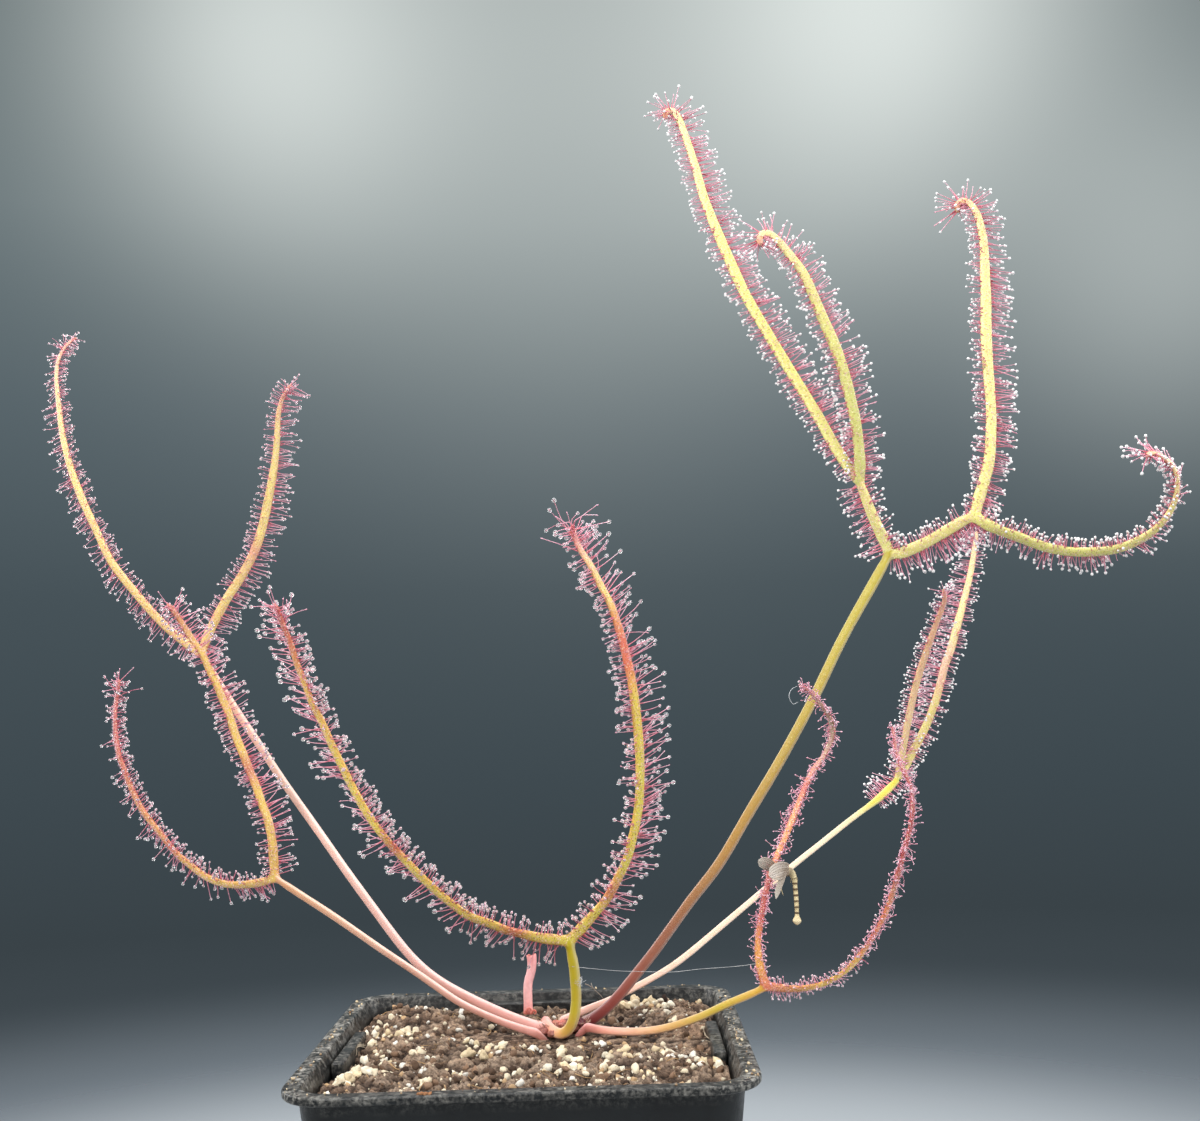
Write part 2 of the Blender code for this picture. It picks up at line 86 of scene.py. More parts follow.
def view_axes():
    cy, sy = math.cos(VIEW_TURN), math.sin(VIEW_TURN)
    cp, sp = math.cos(VIEW_TILT), math.sin(VIEW_TILT)
    cr, sr = math.cos(VIEW_ROLL), math.sin(VIEW_ROLL)
    ahead = Vector((sy * cp, cy * cp, sp))
    right = Vector((cy, -sy, 0.0))
    up = right.cross(ahead)
    return right * cr + up * sr, up * cr - right * sr, ahead


RIGHT, UP, AHEAD = view_axes()
EYE = Vector(VIEW_EYE)


def ray_at(u, v):
    return AHEAD + RIGHT * ((u - VIEW_CENTRE[0]) / VIEW_FOCAL) - UP * ((v - VIEW_CENTRE[1]) / VIEW_FOCAL)


def at_depth(u, v, y):
    """The point seen at (u, v) whose depth is y, in mm from the pot's underside."""
    ray = ray_at(u, v)
    p = EYE + ray * ((y - EYE.y) / ray.y)
    return Vector((p.x, p.y, p.z + POT_H))


def at_level(u, v, z):
    """The point seen at (u, v) at height z above the pot's underside."""
    ray = ray_at(u, v)
    p = EYE + ray * ((z - POT_H - EYE.z) / ray.z)
    return Vector((p.x, p.y, p.z + POT_H))


def srgb(r, g, b):
    c = np.array((r, g, b), float) / 255.0
    return np.where(c <= 0.04045, c / 12.92, ((c + 0.055) / 1.055) ** 2.4)


# ---- leaves: stations (u, v) in the front view, depth keys (fraction, y), and colours along each branch.
# side is +1 where the gland-covered face of an arm leans to the right of its direction of growth, -1 to the left.
LEAVES = {
    "leaf_front": {
        "stalk": ([(545, 1022), (548, 1026.5), (553, 1030.5), (560.5, 1033.8), (568, 1030), (573, 1021), (575.4, 1010), (576.2, 998), (575.5, 984), (573.9, 967), (570.5, 949), (569, 941)],
                  [(0, 20.6), (0.12, 14.6), (0.28, 10.8), (0.5, 9.2), (1, 6)]),
        "arms": [
            ([(569, 941), (555, 939.5), (541, 938), (523, 934), (506, 930), (490, 923.5), (469, 916), (447, 900), (424.5, 880), (405, 860), (385, 838), (368, 815), (354, 790), (343, 768), (332, 745), (321, 720), (312, 703), (304, 681), (297, 664), (291, 644), (284, 627), (278.6, 613), (274.4, 603.5)],
             [(0, 6), (0.35, 0), (0.7, -9), (1, -20)]),
            ([(569, 941), (578, 932), (587, 922), (596, 912), (604.6, 902), (612, 890), (618, 878), (624, 866), (629, 853), (632, 840), (636.5, 820), (639.4, 798), (640, 764), (638, 731), (635, 703), (631, 677), (625, 651), (619, 629), (611, 605), (601, 586), (591, 566), (580, 549), (574, 535), (572, 525)],
             [(0, 6), (0.3, 1), (0.65, -8), (1, -16)]),
        ],
        "stalk_w": (2.5, 2.5), "arm_w": 2.7, "tip_w": 1.5,
        "side": (1, -1), "lean": (40, 36), "per_mm": 5.3, "long": 9.0, "short": 2.6, "drop": 0.50, "wispy": (0.4, 1.0), "slim": (0.92, 0.84), "bead": 2, "pale": 0.12, "dash": (120, 50, 24), "blush": 0.46, "stem": 0.88, "edge": (222, 112, 88), "patch": 0.18,
        "stalk_tone": [(0, (222, 150, 142)), (0.2, (216, 156, 126)), (0.32, (206, 162, 80)), (0.5, (188, 168, 40)), (1, (192, 176, 34))],
        "arm_tones": [
            [(0, (206, 190, 50)), (0.08, (232, 208, 80)), (0.12, (208, 92, 76)), (0.16, (236, 210, 84)), (0.28, (244, 220, 84)), (0.39, (238, 214, 66)), (0.43, (216, 92, 54)), (0.48, (242, 218, 60)), (0.68, (240, 212, 80)), (0.84, (236, 180, 88)), (0.92, (216, 106, 84)), (1, (182, 54, 68))],
            [(0, (206, 190, 50)), (0.1, (230, 212, 76)), (0.15, (206, 112, 64)), (0.21, (228, 216, 62)), (0.45, (228, 214, 54)), (0.6, (236, 208, 66)), (0.67, (228, 100, 60)), (0.73, (224, 88, 72)), (0.78, (238, 160, 84)), (0.83, (244, 216, 110)), (0.92, (244, 206, 146)), (0.97, (222, 124, 130)), (1, (198, 72, 86))],
        ]},
    "leaf_left_low": {
        "stalk": ([(534, 1032.4), (516, 1027), (497, 1020), (478, 1011.5), (457, 1001.5), (438.5, 988), (410.5, 968.5), (382, 950), (354, 930), (326, 911), (304, 897), (285, 884.5), (275, 878)],
                  [(0, 14.2), (0.3, 17), (0.6, 23), (1, 32)]),
        "arms": [
            ([(275, 878), (260, 882.5), (239, 885), (221, 883), (204.5, 876), (190, 865), (176, 853), (164, 838), (151, 822), (141, 808), (131, 787), (124, 769), (119, 755), (116, 736), (115, 718), (116, 702), (118, 691), (119, 679)],
             [(0, 32), (0.4, 38), (1, 46)]),
            ([(275, 878), (273.5, 857), (272, 840), (268, 820), (262, 804), (256.5, 787), (249, 769), (242, 751), (235, 734), (229, 714), (223, 700), (216, 683), (208, 667), (203, 655), (194, 642), (184, 626.5), (176, 614), (167, 603.6)],
             [(0, 32), (0.5, 28), (1, 20)]),
        ],
        "stalk_w": (1.9, 2.0), "arm_w": 2.4, "tip_w": 1.4,
        "side": (1, -1), "lean": (36, 32), "per_mm": 5.0, "long": 6.4, "short": 2.2, "drop": 0.42, "wispy": (0.5, 0.5), "slim": (0.85, 0.82), "bead": 0, "pale": 0.12, "dash": (150, 70, 40), "blush": 0.58, "stem": 0.9, "edge": (206, 96, 90), "patch": 0.2,
        "stalk_tone": [(0, (204, 142, 132)), (0.25, (212, 160, 146)), (0.6, (212, 164, 140)), (1, (206, 152, 110))],
        "arm_tones": [
            [(0, (216, 176, 74)), (0.2, (228, 190, 74)), (0.34, (222, 164, 72)), (0.39, (192, 70, 64)), (0.46, (214, 154, 76)), (0.66, (196, 108, 84)), (0.82, (176, 58, 72)), (1, (150, 34, 62))],
            [(0, (216, 176, 74)), (0.3, (228, 196, 76)), (0.38, (196, 90, 68)), (0.45, (230, 196, 76)), (0.8, (224, 184, 84)), (1, (176, 70, 66))],
        ]},
    "leaf_left_high": {
        "stalk": ([(538.5, 1027), (524, 1022), (510, 1016.5), (483.6, 1005), (457, 991.5), (438.5, 980.5), (417, 964), (396, 939), (376, 911.5), (355.5, 884), (335, 855), (315, 826), (294, 797), (276, 771), (258, 742.5), (241, 718), (223, 689), (208, 666), (201.5, 654)],
                  [(0, 17.4), (0.2, 21.5), (0.5, 34), (1, 65)]),
        "arms": [
            ([(201.5, 654), (186, 643), (163, 624), (138, 596), (112, 563), (97, 532), (82, 499), (70, 466), (62.5, 435), (59, 407), (56.6, 382), (57.4, 364), (62.5, 351), (69, 343), (76.5, 337)],
             [(0, 65), (0.5, 74), (1, 84)]),
            ([(201.5, 654), (206, 640), (212, 626.5), (227, 598.5), (242, 575.5), (255, 550), (263, 524.5), (269, 496), (274, 468), (277, 440), (278, 417), (282, 399.5), (291, 384)],
             [(0, 65), (0.5, 62), (1, 54)]),
        ],
        "stalk_w": (2.5, 2.3), "arm_w": 2.7, "tip_w": 0.9,
        "side": (1, -1), "lean": (22, 24), "per_mm": 5.0, "long": 5.8, "short": 2.3, "drop": 0.36, "wispy": (0.1, 0.1), "slim": (0.86, 0.86), "bead": 0, "pale": 0.28, "dash": (176, 110, 60), "blush": 0.42, "stem": 0.9, "edge": (216, 130, 110), "patch": 0.06,
        "stalk_tone": [(0, (216, 158, 150)), (0.3, (220, 174, 164)), (0.6, (222, 180, 164)), (0.85, (218, 168, 142)), (1, (212, 146, 104))],
        "arm_tones": [
            [(0, (226, 174, 74)), (0.3, (234, 198, 88)), (0.6, (242, 216, 106)), (0.88, (240, 204, 140)), (0.96, (228, 140, 120)), (1, (206, 96, 90))],
            [(0, (226, 174, 74)), (0.22, (240, 208, 96)), (0.36, (232, 186, 110)), (0.40, (220, 128, 108)), (0.46, (244, 218, 108)), (0.8, (246, 222, 120)), (0.92, (232, 170, 120)), (1, (190, 90, 96))],
        ]},
    "leaf_right_high": {
        "stalk": ([(585.5, 1022.8), (594, 1018), (604.5, 1010), (619, 996), (635, 975.5), (653.5, 953), (666, 935), (682, 913), (696, 893), (720, 865), (743.5, 821), (773, 774), (802, 721), (820, 686), (843, 636), (867, 595), (886, 560), (889.5, 553)],
                  [(0, 21.0), (0.1, 19), (0.4, 17), (0.7, 18.5), (1, 22)]),
        "arms": [
            ([(889.5, 553), (882, 536), (873, 517), (863, 491), (859, 481)],
             [(0, 22), (1, 24)]),
            ([(859, 481), (850.5, 470), (834.5, 446), (819, 418), (799.5, 386), (780, 354), (761, 322), (745, 294), (729, 259), (716.5, 230), (704, 198), (696, 169), (688, 144), (681.5, 125), (675, 113), (669, 110.5), (665.5, 114), (666.5, 120)],
             [(0, 24), (0.5, 34), (1, 42)]),
            ([(859, 483), (860, 463), (857, 431), (852, 405), (844, 373), (834.5, 345), (823, 319), (814, 297), (804, 274.5), (793, 259), (780, 243), (770, 234), (762, 234), (759.5, 240), (762, 246)],
             [(0, 24), (0.5, 17), (1, 9)]),
            ([(889.5, 553), (898, 554), (908, 550.5), (927, 542), (946, 531), (962, 521.5), (975, 515)],
             [(0, 22), (1, 19)]),
            ([(975, 515), (979, 498), (983, 485), (989, 461), (991, 434), (991, 408), (989, 381), (987, 354), (986, 327), (986, 300), (985, 274), (984, 247), (980.5, 225), (975, 210), (967, 201.5), (959.5, 202), (957, 208), (960, 213)],
             [(0, 19), (0.5, 24), (1, 32)]),
            ([(973, 516), (985, 523), (999, 530), (1021, 538), (1042, 546), (1064, 551), (1088, 552), (1112, 550), (1133, 543), (1152, 532), (1168, 515), (1176, 496), (1177, 477), (1171, 464), (1160, 455.5), (1151, 453), (1146, 457)],
             [(0, 19), (0.4, 12), (1, -2)]),
        ],
        "stalk_w": (2.9, 2.9), "arm_w": 2.9, "tip_w": 1.6,
        "side": (1, -1, -1, -1, -1, -1), "lean": (40, 4, 12, 8, 8, 52), "per_mm": 7.2, "long": 6.6, "short": 2.4, "drop": 0.38, "wispy": (0, 0, 0, 0, 0, 0), "slim": (0.80, 0.92), "bead": 0, "pale": 0.30, "dash": (170, 150, 60), "blush": 0.50, "stem": 0.98, "edge": (238, 236, 170), "patch": 0.03, "milky": True,
        "stalk_tone": [(0, (112, 40, 44)), (0.07, (140, 66, 58)), (0.22, (148, 90, 60)), (0.42, (164, 120, 34)), (0.62, (164, 136, 20)), (0.8, (168, 148, 18)), (1, (170, 154, 24))],
        "arm_tones": [
            [(0, (180, 176, 56)), (1, (206, 192, 84))],
            [(0, (192, 190, 60)), (0.3, (212, 208, 58)), (0.6, (232, 224, 92)), (0.88, (244, 234, 150)), (0.965, (242, 222, 150)), (0.985, (222, 96, 84)), (1, (196, 40, 44))],
            [(0, (172, 176, 44)), (0.3, (194, 198, 46)), (0.6, (224, 216, 86)), (0.84, (244, 228, 140)), (0.95, (244, 222, 146)), (0.975, (222, 96, 88)), (1, (190, 40, 50))],
            [(0, (196, 186, 66)), (1, (216, 196, 92))],
            [(0, (214, 200, 84)), (0.3, (228, 214, 104)), (0.7, (238, 222, 126)), (0.93, (240, 196, 130)), (0.97, (228, 120, 96)), (1, (206, 76, 70))],
            [(0, (206, 202, 76)), (0.4, (218, 216, 72)), (0.7, (232, 212, 104)), (0.88, (240, 184, 126)), (1, (236, 128, 112))],
        ]},
    "leaf_right_back": {
        "stalk": ([(564, 1020.5), (581, 1011.5), (602, 1003.5), (623, 994), (658, 975), (682, 960), (720, 927), (749, 903), (793, 865), (823, 842), (852, 818), (873, 803.5), (886, 792), (898, 779)],
                  [(0, 23.4), (0.1, 26), (0.4, 46), (1, 90)]),
        "arms": [
            ([(898, 779), (906, 765), (915, 747.5), (926, 726), (935, 703), (940, 685), (945, 665), (951, 649), (958, 622.5), (965, 596), (971, 571), (974.5, 548), (976.5, 531)],
             [(0, 90), (1, 100)]),
            ([(898, 779), (900, 766), (902.5, 752), (905, 738), (907.5, 724), (911, 707), (915, 689), (920, 671), (926, 653), (931.5, 637), (938, 619), (943, 606), (945, 597.5), (943, 589)],
             [(0, 90), (0.5, 84), (1, 76)]),
        ],
        "stalk_w": (2.3, 2.2), "arm_w": 2.6, "tip_w": 1.5,
        "side": (1, -1), "lean": (24, 24), "per_mm": 5.4, "long": 5.8, "short": 2.4, "drop": 0.34, "wispy": (0, 0), "slim": (0.66, 0.84), "bead": 0, "pale": 0.30, "dash": (176, 130, 70), "blush": 0.32, "stem": 0.9, "edge": (226, 190, 140), "patch": 0.05, "milky": True, "sleeve": 0.12,
        "stalk_tone": [(0, (226, 176, 162)), (0.3, (226, 192, 168)), (0.7, (222, 200, 172)), (0.84, (214, 196, 150)), (0.90, (200, 188, 76)), (1, (204, 194, 72))],
        "arm_tones": [
            [(0, (206, 198, 76)), (0.32, (214, 202, 76)), (0.40, (226, 160, 140)), (0.52, (230, 176, 144)), (0.58, (232, 216, 130)), (0.9, (238, 222, 156)), (1, (226, 196, 150))],
            [(0, (206, 192, 84)), (0.3, (234, 190, 140)), (0.6, (234, 172, 122)), (0.9, (216, 124, 100)), (1, (180, 52, 58))],
        ]},
    "leaf_right_low": {
        "stalk": ([(588.5, 1027.6), (597, 1029.4), (609, 1031), (630, 1032), (651, 1031), (669, 1027.3), (686, 1022), (700, 1017), (714, 1010.5), (728, 1003.5), (742, 998), (756, 992), (766, 987)],
                  [(0, 16.6), (0.12, 12.9), (0.35, 11.4), (0.6, 8), (1, 3)]),
        "arms": [
            ([(766, 987), (762, 974), (759, 960), (758, 941), (761, 918), (765.5, 894), (770, 874), (777, 856), (784.5, 839), (793, 818), (802, 795), (811, 774), (823, 757), (831.5, 739), (832, 724), (826, 711), (817, 700), (808, 690), (799, 685.5)],
             [(0, 3), (0.4, 6), (0.75, 9), (1, 8)]),
            ([(766, 987), (775, 987), (786, 988.5), (802, 988.5), (820, 985), (837, 977), (852, 965), (864, 950), (875.5, 932), (886, 912), (893, 891.5), (899, 871), (905, 847.5), (911, 824), (912.5, 803.5), (910, 784), (902, 768), (896, 751), (894.5, 738), (892, 726)],
             [(0, 3), (0.35, -5), (0.7, -8), (1, -2)]),
        ],
        "stalk_w": (1.9, 1.8), "arm_w": 2.3, "tip_w": 1.3,
        "side": (1, -1), "lean": (40, 40), "per_mm": 9.0, "long": 3.6, "short": 1.9, "drop": 0.30, "wispy": (0.6, 0.6), "slim": (0.90, 0.64), "bead": 0, "pale": 0.08, "dash": (120, 36, 36), "blush": 0.36, "stem": 0.85, "edge": (168, 44, 56), "patch": 0.2, "withered": True,
        "stalk_tone": [(0, (218, 142, 136)), (0.22, (212, 154, 126)), (0.45, (196, 152, 84)), (0.72, (182, 158, 38)), (1, (200, 152, 50))],
        "arm_tones": [
            [(0, (196, 96, 72)), (0.06, (224, 164, 70)), (0.14, (220, 140, 62)), (0.20, (168, 58, 56)), (0.33, (168, 56, 58)), (0.40, (230, 152, 84)), (0.52, (232, 156, 92)), (0.62, (206, 106, 92)), (0.70, (200, 140, 122)), (0.76, (168, 136, 118)), (0.84, (122, 104, 92)), (0.93, (164, 130, 118)), (1, (206, 110, 124))],
            [(0, (206, 110, 84)), (0.08, (222, 150, 80)), (0.16, (236, 194, 80)), (0.28, (240, 196, 84)), (0.36, (214, 112, 84)), (0.46, (226, 136, 74)), (0.52, (180, 110, 88)), (0.6, (172, 60, 68)), (0.85, (152, 44, 58)), (0.93, (190, 116, 108)), (1, (176, 92, 90))],
        ]},
}

STUB = ([(528.5, 1014), (528, 1000), (528, 984), (531, 972), (532, 963), (531.4, 955.5)], [(0, 28.5), (1, 30)])
FLY_BODY = ([(771, 866), (776, 871), (783, 872.5), (790, 872), (794, 878), (795.5, 890), (796.5, 903), (797, 915), (797, 925)], [(0, 3.4), (0.25, 2.2), (0.5, 1.6), (1, 1.0)])
FLY_WINGS = {
    "fly_wing_upper": ([(774, 869), (767, 864), (758, 861)], [(0, 0.9), (1, -1.5)], 2.2),
    "fly_wing_lower": ([(786, 868), (782, 879), (778, 890), (776, 899)], [(0, -1.0), (1, -2.2)], 1.9),
}

MOUNDS = [(-22, 6, 1.9, 9), (-4, 0, 1.5, 8), (24, -14, 0.9, 8), (-30, -20, 1.2, 8), (30, 24, 1.5, 9), (-27, 30, 1.4, 9), (8, -22, 0.8, 9),
          (-12, 22, 0.6, 7), (12, 31, 0.9, 6), (-34, 10, 0.8, 6), (10, -4, -1.0, 5), (-12, -14, -0.9, 6), (32, 4, -0.8, 6)]
BANKS = [(-31, 34, 1.9, 9), (-14, 38, 1.8, 8), (1, 38, 1.5, 7), (17, 38, 2.0, 8), (31, 35, 2.3, 9), (37, 21, 1.9, 8), (38, -16, 1.2, 9), (-38, 18, 1.5, 8), (-36, -30, 1.6, 9), (-20, -36, 1.0, 8), (20, -36, 1.0, 8)]
STALK_BEDS = [((1.9, 21.2), (5.6, 11.5)), ((5.6, 11.5), (8, 10)), ((0.5, 17.2), (-12, 19.5)), ((-0.8, 14.2), (-14, 16.5)),
              ((12, 16.8), (17, 12.5)), ((17, 12.5), (28, 11)), ((28, 11), (40, 5)), ((12, 21), (18, 19.5)), ((6.5, 23.4), (14, 27)), ((4, 19), (11, 19))]


# ---- curves
def keyed(keys, f):
    """Smooth value at fraction f through (fraction, value) keys."""
    xs = [k[0] for k in keys]
    ys = [k[1] for k in keys]
    for i in range(len(xs) - 1):
        if f <= xs[i + 1] or i == len(xs) - 2:
            h = xs[i + 1] - xs[i]
            t = min(1.0, max(0.0, (f - xs[i]) / h))
            m0 = (ys[i + 1] - ys[i - 1]) / (xs[i + 1] - xs[i - 1]) * h if i else (ys[1] - ys[0])
            m1 = (ys[i + 2] - ys[i]) / (xs[i + 2] - xs[i]) * h if i < len(xs) - 2 else (ys[i + 1] - ys[i])
            return ((2 * t ** 3 - 3 * t * t + 1) * ys[i] + (t ** 3 - 2 * t * t + t) * m0
                    + (3 * t * t - 2 * t ** 3) * ys[i + 1] + (t ** 3 - t * t) * m1)
    return ys[-1]


def smooth_path(pts, step, rounds=6):
    """Even points, step mm apart, on a smooth curve through pts."""
    fine = []
    for i in range(len(pts) - 1):
        p0 = pts[i - 1] if i else pts[0] * 2 - pts[1]
        p1, p2 = pts[i], pts[i + 1]
        p3 = pts[i + 2] if i + 2 < len(pts) else pts[-1] * 2 - pts[-2]
        for k in range(12):
            t = k / 12
            fine.append(0.5 * (2 * p1 + (p2 - p0) * t + (2 * p0 - 5 * p1 + 4 * p2 - p3) * t * t
                               + (3 * p1 - p0 - 3 * p2 + p3) * t ** 3))
    fine.append(pts[-1])
    fine = np.array([tuple(p) for p in fine])
    for _ in range(rounds):
        fine[1:-1] = (fine[:-2] + 2 * fine[1:-1] + fine[2:]) / 4
    at = np.concatenate([[0], np.cumsum(np.linalg.norm(np.diff(fine, axis=0), axis=1))])
    n = max(3, round(at[-1] / step))
    s = np.linspace(0, at[-1], n + 1)
    return np.stack([np.interp(s, at, fine[:, k]) for k in range(3)], 1)


def centreline(stations, depths, step, rounds=6):
    flat = [Vector((u, v)) for u, v in stations]
    run = [0.0]
    for a, b in zip(flat, flat[1:]):
        run.append(run[-1] + (b - a).length)
    return smooth_path([at_depth(u, v, keyed(depths, r / run[-1])) for (u, v), r in zip(stations, run)], step, rounds)


def unit(a):
    return a / np.maximum(np.linalg.norm(a, axis=-1, keepdims=True), 1e-12)


def frames_of(path):
    """Direction T, front-facing normal N and sideways vector S = T x N at each point."""
    T = unit(np.gradient(path, axis=0))
    front = np.array((0.0, -1.0, 0.0))
    N = unit(front - T * (T @ front)[:, None])
    return T, N, np.cross(T, N)


# ---- noise on arrays of points
def lattice(ix, iy, iz, seed):
    h = (ix * 374761393 + iy * 668265263 + iz * 1442695041 + seed * 1274126177) & 0xFFFFFFFF
    h = ((h ^ (h >> 13)) * 1274126177) & 0xFFFFFFFF
    return ((h ^ (h >> 16)) & 0xFFFFFF) / float(0xFFFFFF)


def noise(p, size, seed=0):
    """Smooth noise from -1 to 1 with features of the given size."""
    q = np.asarray(p, float) / size
    i = np.floor(q).astype(np.int64)
    f = q - i
    f = f * f * (3 - 2 * f)
    out = np.zeros(len(q))
    for dx in (0, 1):
        for dy in (0, 1):
            for dz in (0, 1):
                w = (f[:, 0] if dx else 1 - f[:, 0]) * (f[:, 1] if dy else 1 - f[:, 1]) * (f[:, 2] if dz else 1 - f[:, 2])
                out += w * lattice(i[:, 0] + dx, i[:, 1] + dy, i[:, 2] + dz, seed)
    return out * 2 - 1


def crumbs(xy, size, seed):
    """Cells in the plane: distance to the nearest centre, to the second nearest, and the nearest one's own number."""
    q = xy / size
    i = np.floor(q).astype(np.int64)
    z = np.zeros(len(q), np.int64)
    f1 = np.full(len(q), 9.0)
    f2 = np.full(len(q), 9.0)
    own = np.zeros(len(q))
    for dx in (-1, 0, 1):
        for dy in (-1, 0, 1):
            cx, cy = i[:, 0] + dx, i[:, 1] + dy
            px = cx + 0.15 + 0.7 * lattice(cx, cy, z, seed)
            py = cy + 0.15 + 0.7 * lattice(cx, cy, z + 1, seed)
            d = np.hypot(q[:, 0] - px, q[:, 1] - py)
            near = d < f1
            f2 = np.where(near, f1, np.minimum(f2, d))
            own = np.where(near, lattice(cx, cy, z + 2, seed), own)
            f1 = np.where(near, d, f1)
    return f1, f2, own


# ---- meshes
def mesh_of(name, verts, faces, uvs=None, tones=None, smooth=True):
    """A mesh from points in mm and a list of face index arrays, each (count, corners)."""
    me = bpy.data.meshes.new(name)
    verts = np.asarray(verts, np.float32) * MM
    me.vertices.add(len(verts))
    me.vertices.foreach_set("co", verts.ravel())
    faces = [np.asarray(f, np.int32) for f in faces if len(f)]
    loops = np.concatenate([f.ravel() for f in faces])
    sizes = np.concatenate([np.full(len(f), f.shape[1]) for f in faces])
    me.loops.add(len(loops))
    me.polygons.add(len(sizes))
    me.polygons.foreach_set("loop_start", np.concatenate([[0], np.cumsum(sizes)[:-1]]).astype(np.int32))
    me.loops.foreach_set("vertex_index", loops)
    me.update(calc_edges=True)
    if uvs is not None:
        layer = me.uv_layers.new(name=UV)
        layer.uv.foreach_set("vector", np.concatenate([np.asarray(u, np.float32).reshape(-1, 2) for u in uvs]).ravel())
    if tones is not None:
        paint(me, tones)
    if smooth:
        me.shade_smooth()
    else:
        me.shade_flat()
    return me


def paint(me, tones):
    layer = me.color_attributes.new("tone", "FLOAT_COLOR", "POINT")
    rgba = np.ones((len(me.vertices), 4), np.float32)
    rgba[:, :tones.shape[1]] = tones
    layer.data.foreach_set("color", rgba.ravel())


def place(name, me, mat, slot, *nodes):
    """Puts a mesh in the scene as a piece of the plant."""
    me.materials.clear()
    me.materials.append(mat)
    obj = bpy.data.objects.new(name, me)
    bpy.context.scene.collection.objects.link(obj)
    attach(obj, "root")
    if nodes:
        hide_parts(*nodes)
    return obj


def joined(parts):
    """Adds (verts, faces, uvs, tones) parts together."""
    verts, faces, uvs, tones, at = [], [], [], [], 0
    for v, f, u, t in parts:
        verts.append(v)
        faces += [np.asarray(x) + at for x in f]
        if u is not None:
            uvs += u
        if t is not None:
            tones.append(t)
        at += len(v)
    return np.concatenate(verts), faces, (uvs or None), (np.concatenate(tones) if tones else None)


def tube(path, width, thick, sides, band=(0.0, 1.0), frame=None, caps=True, back=0.0, square=1.0):
    """A tube along path; width and thick are arrays in mm. back channels the face turned away from N; square under 1 flattens the faces."""
    T, N, S = frame or frames_of(path)
    n = len(path)
    a = 2 * np.pi * (np.arange(sides) + 0.5) / sides
    c, s = np.cos(a), np.sin(a)
    c, s = np.sign(c) * np.abs(c) ** square, np.sign(s) * np.abs(s) ** square
    s = np.where(s < 0, s * (1 - back * np.abs(s) ** 3), s)
    ring = (path[:, None] + S[:, None] * (c[None, :, None] * width[:, None, None] / 2)
            + N[:, None] * (s[None, :, None] * thick[:, None, None] / 2))
    i, k = np.meshgrid(np.arange(n - 1), np.arange(sides), indexing="ij")
    k2 = (k + 1) % sides
    quads = np.stack([i * sides + k, (i + 1) * sides + k, (i + 1) * sides + k2, i * sides + k2], -1).reshape(-1, 4)
    f = np.linspace(0.004, 0.996, n)
    lo, hi = band[0] + 0.02 * (band[1] - band[0]), band[1] - 0.02 * (band[1] - band[0])
    v0, v1 = lo + (hi - lo) * k / sides, lo + (hi - lo) * (k + 1) / sides
    uv = np.stack([np.stack([f[i], v0], -1), np.stack([f[i + 1], v0], -1), np.stack([f[i + 1], v1], -1), np.stack([f[i], v1], -1)], 2).reshape(-1, 4, 2)
    faces, uvs = [quads], [uv]
    if caps:
        first = np.arange(sides)[None]
        last = ((n - 1) * sides + np.arange(sides))[None, ::-1]
        for cap, at in ((first, 0.002), (last, 0.998)):
            faces.append(cap)
            ang = 2 * np.pi * np.arange(sides) / sides
            uvs.append(np.stack([at + 0.0015 * np.cos(ang), (lo + hi) / 2 + 0.003 * np.sin(ang)], -1)[None])
    return ring.reshape(-1, 3), faces, uvs, None


def ball(level):
    bm = bmesh.new()
    bmesh.ops.create_icosphere(bm, subdivisions=level, radius=1.0)
    v = np.array([p.co[:] for p in bm.verts])
    f = np.array([[p.index for p in face.verts] for face in bm.faces])
    bm.free()
    return v, f


BALLS = {n: ball(n) for n in (1, 2, 3, 4)}


def bead(around=7, levels=5):
    """A round ball with few faces, for the smallest drops."""
    pts, tris = [(0.0, 0.0, 1.0)], []
    for i in range(1, levels):
        a = math.pi * i / levels
        pts += [(math.sin(a) * math.cos(2 * math.pi * (k + 0.5 * i) / around), math.sin(a) * math.sin(2 * math.pi * (k + 0.5 * i) / around), math.cos(a)) for k in range(around)]
    pts.append((0.0, 0.0, -1.0))
    last = len(pts) - 1
    for k in range(around):
        k2 = (k + 1) % around
        tris += [(0, 1 + k, 1 + k2), (last, last - around + k2, last - around + k)]
        for i in range(levels - 2):
            a, b, c, d = 1 + i * around + k, 1 + i * around + k2, 1 + (i + 1) * around + k, 1 + (i + 1) * around + k2
            tris += [(a, c, b), (b, c, d)]
    return np.array(pts), np.array(tris)


BEAD = bead()


def rounded_square(width, radius, z, per_corner=6, along=0):
    """Points of a rounded square ring, anticlockwise, with extra ones along its straight sides."""
    h = width / 2 - radius
    centres = ((h, h), (-h, h), (-h, -h), (h, -h))
    pts = []
    for q in range(4):
        cx, cy = centres[q]
        for k in range(per_corner + 1):
            a = math.pi / 2 * (q + k / per_corner)
            pts.append((cx + radius * math.cos(a), cy + radius * math.sin(a), z))
        nx, ny = centres[(q + 1) % 4]
        start, end = pts[-1], (nx + radius * math.cos(a), ny + radius * math.sin(a), z)
        for k in range(1, along + 1):
            f = k / (along + 1)
            pts.append(tuple(p + (e - p) * f for p, e in zip(start, end)))
    return np.array(pts)


def loft(rings, first=True, last=True):
    n = len(rings[0])
    i, k = np.meshgrid(np.arange(len(rings) - 1), np.arange(n), indexing="ij")
    k2 = (k + 1) % n
    quads = np.stack([i * n + k, i * n + k2, (i + 1) * n + k2, (i + 1) * n + k], -1).reshape(-1, 4)
    faces = [quads]
    if first:
        faces.append(np.arange(n)[None, ::-1])
    if last:
        faces.append(((len(rings) - 1) * n + np.arange(n))[None])
    return np.concatenate(rings), faces, None, None


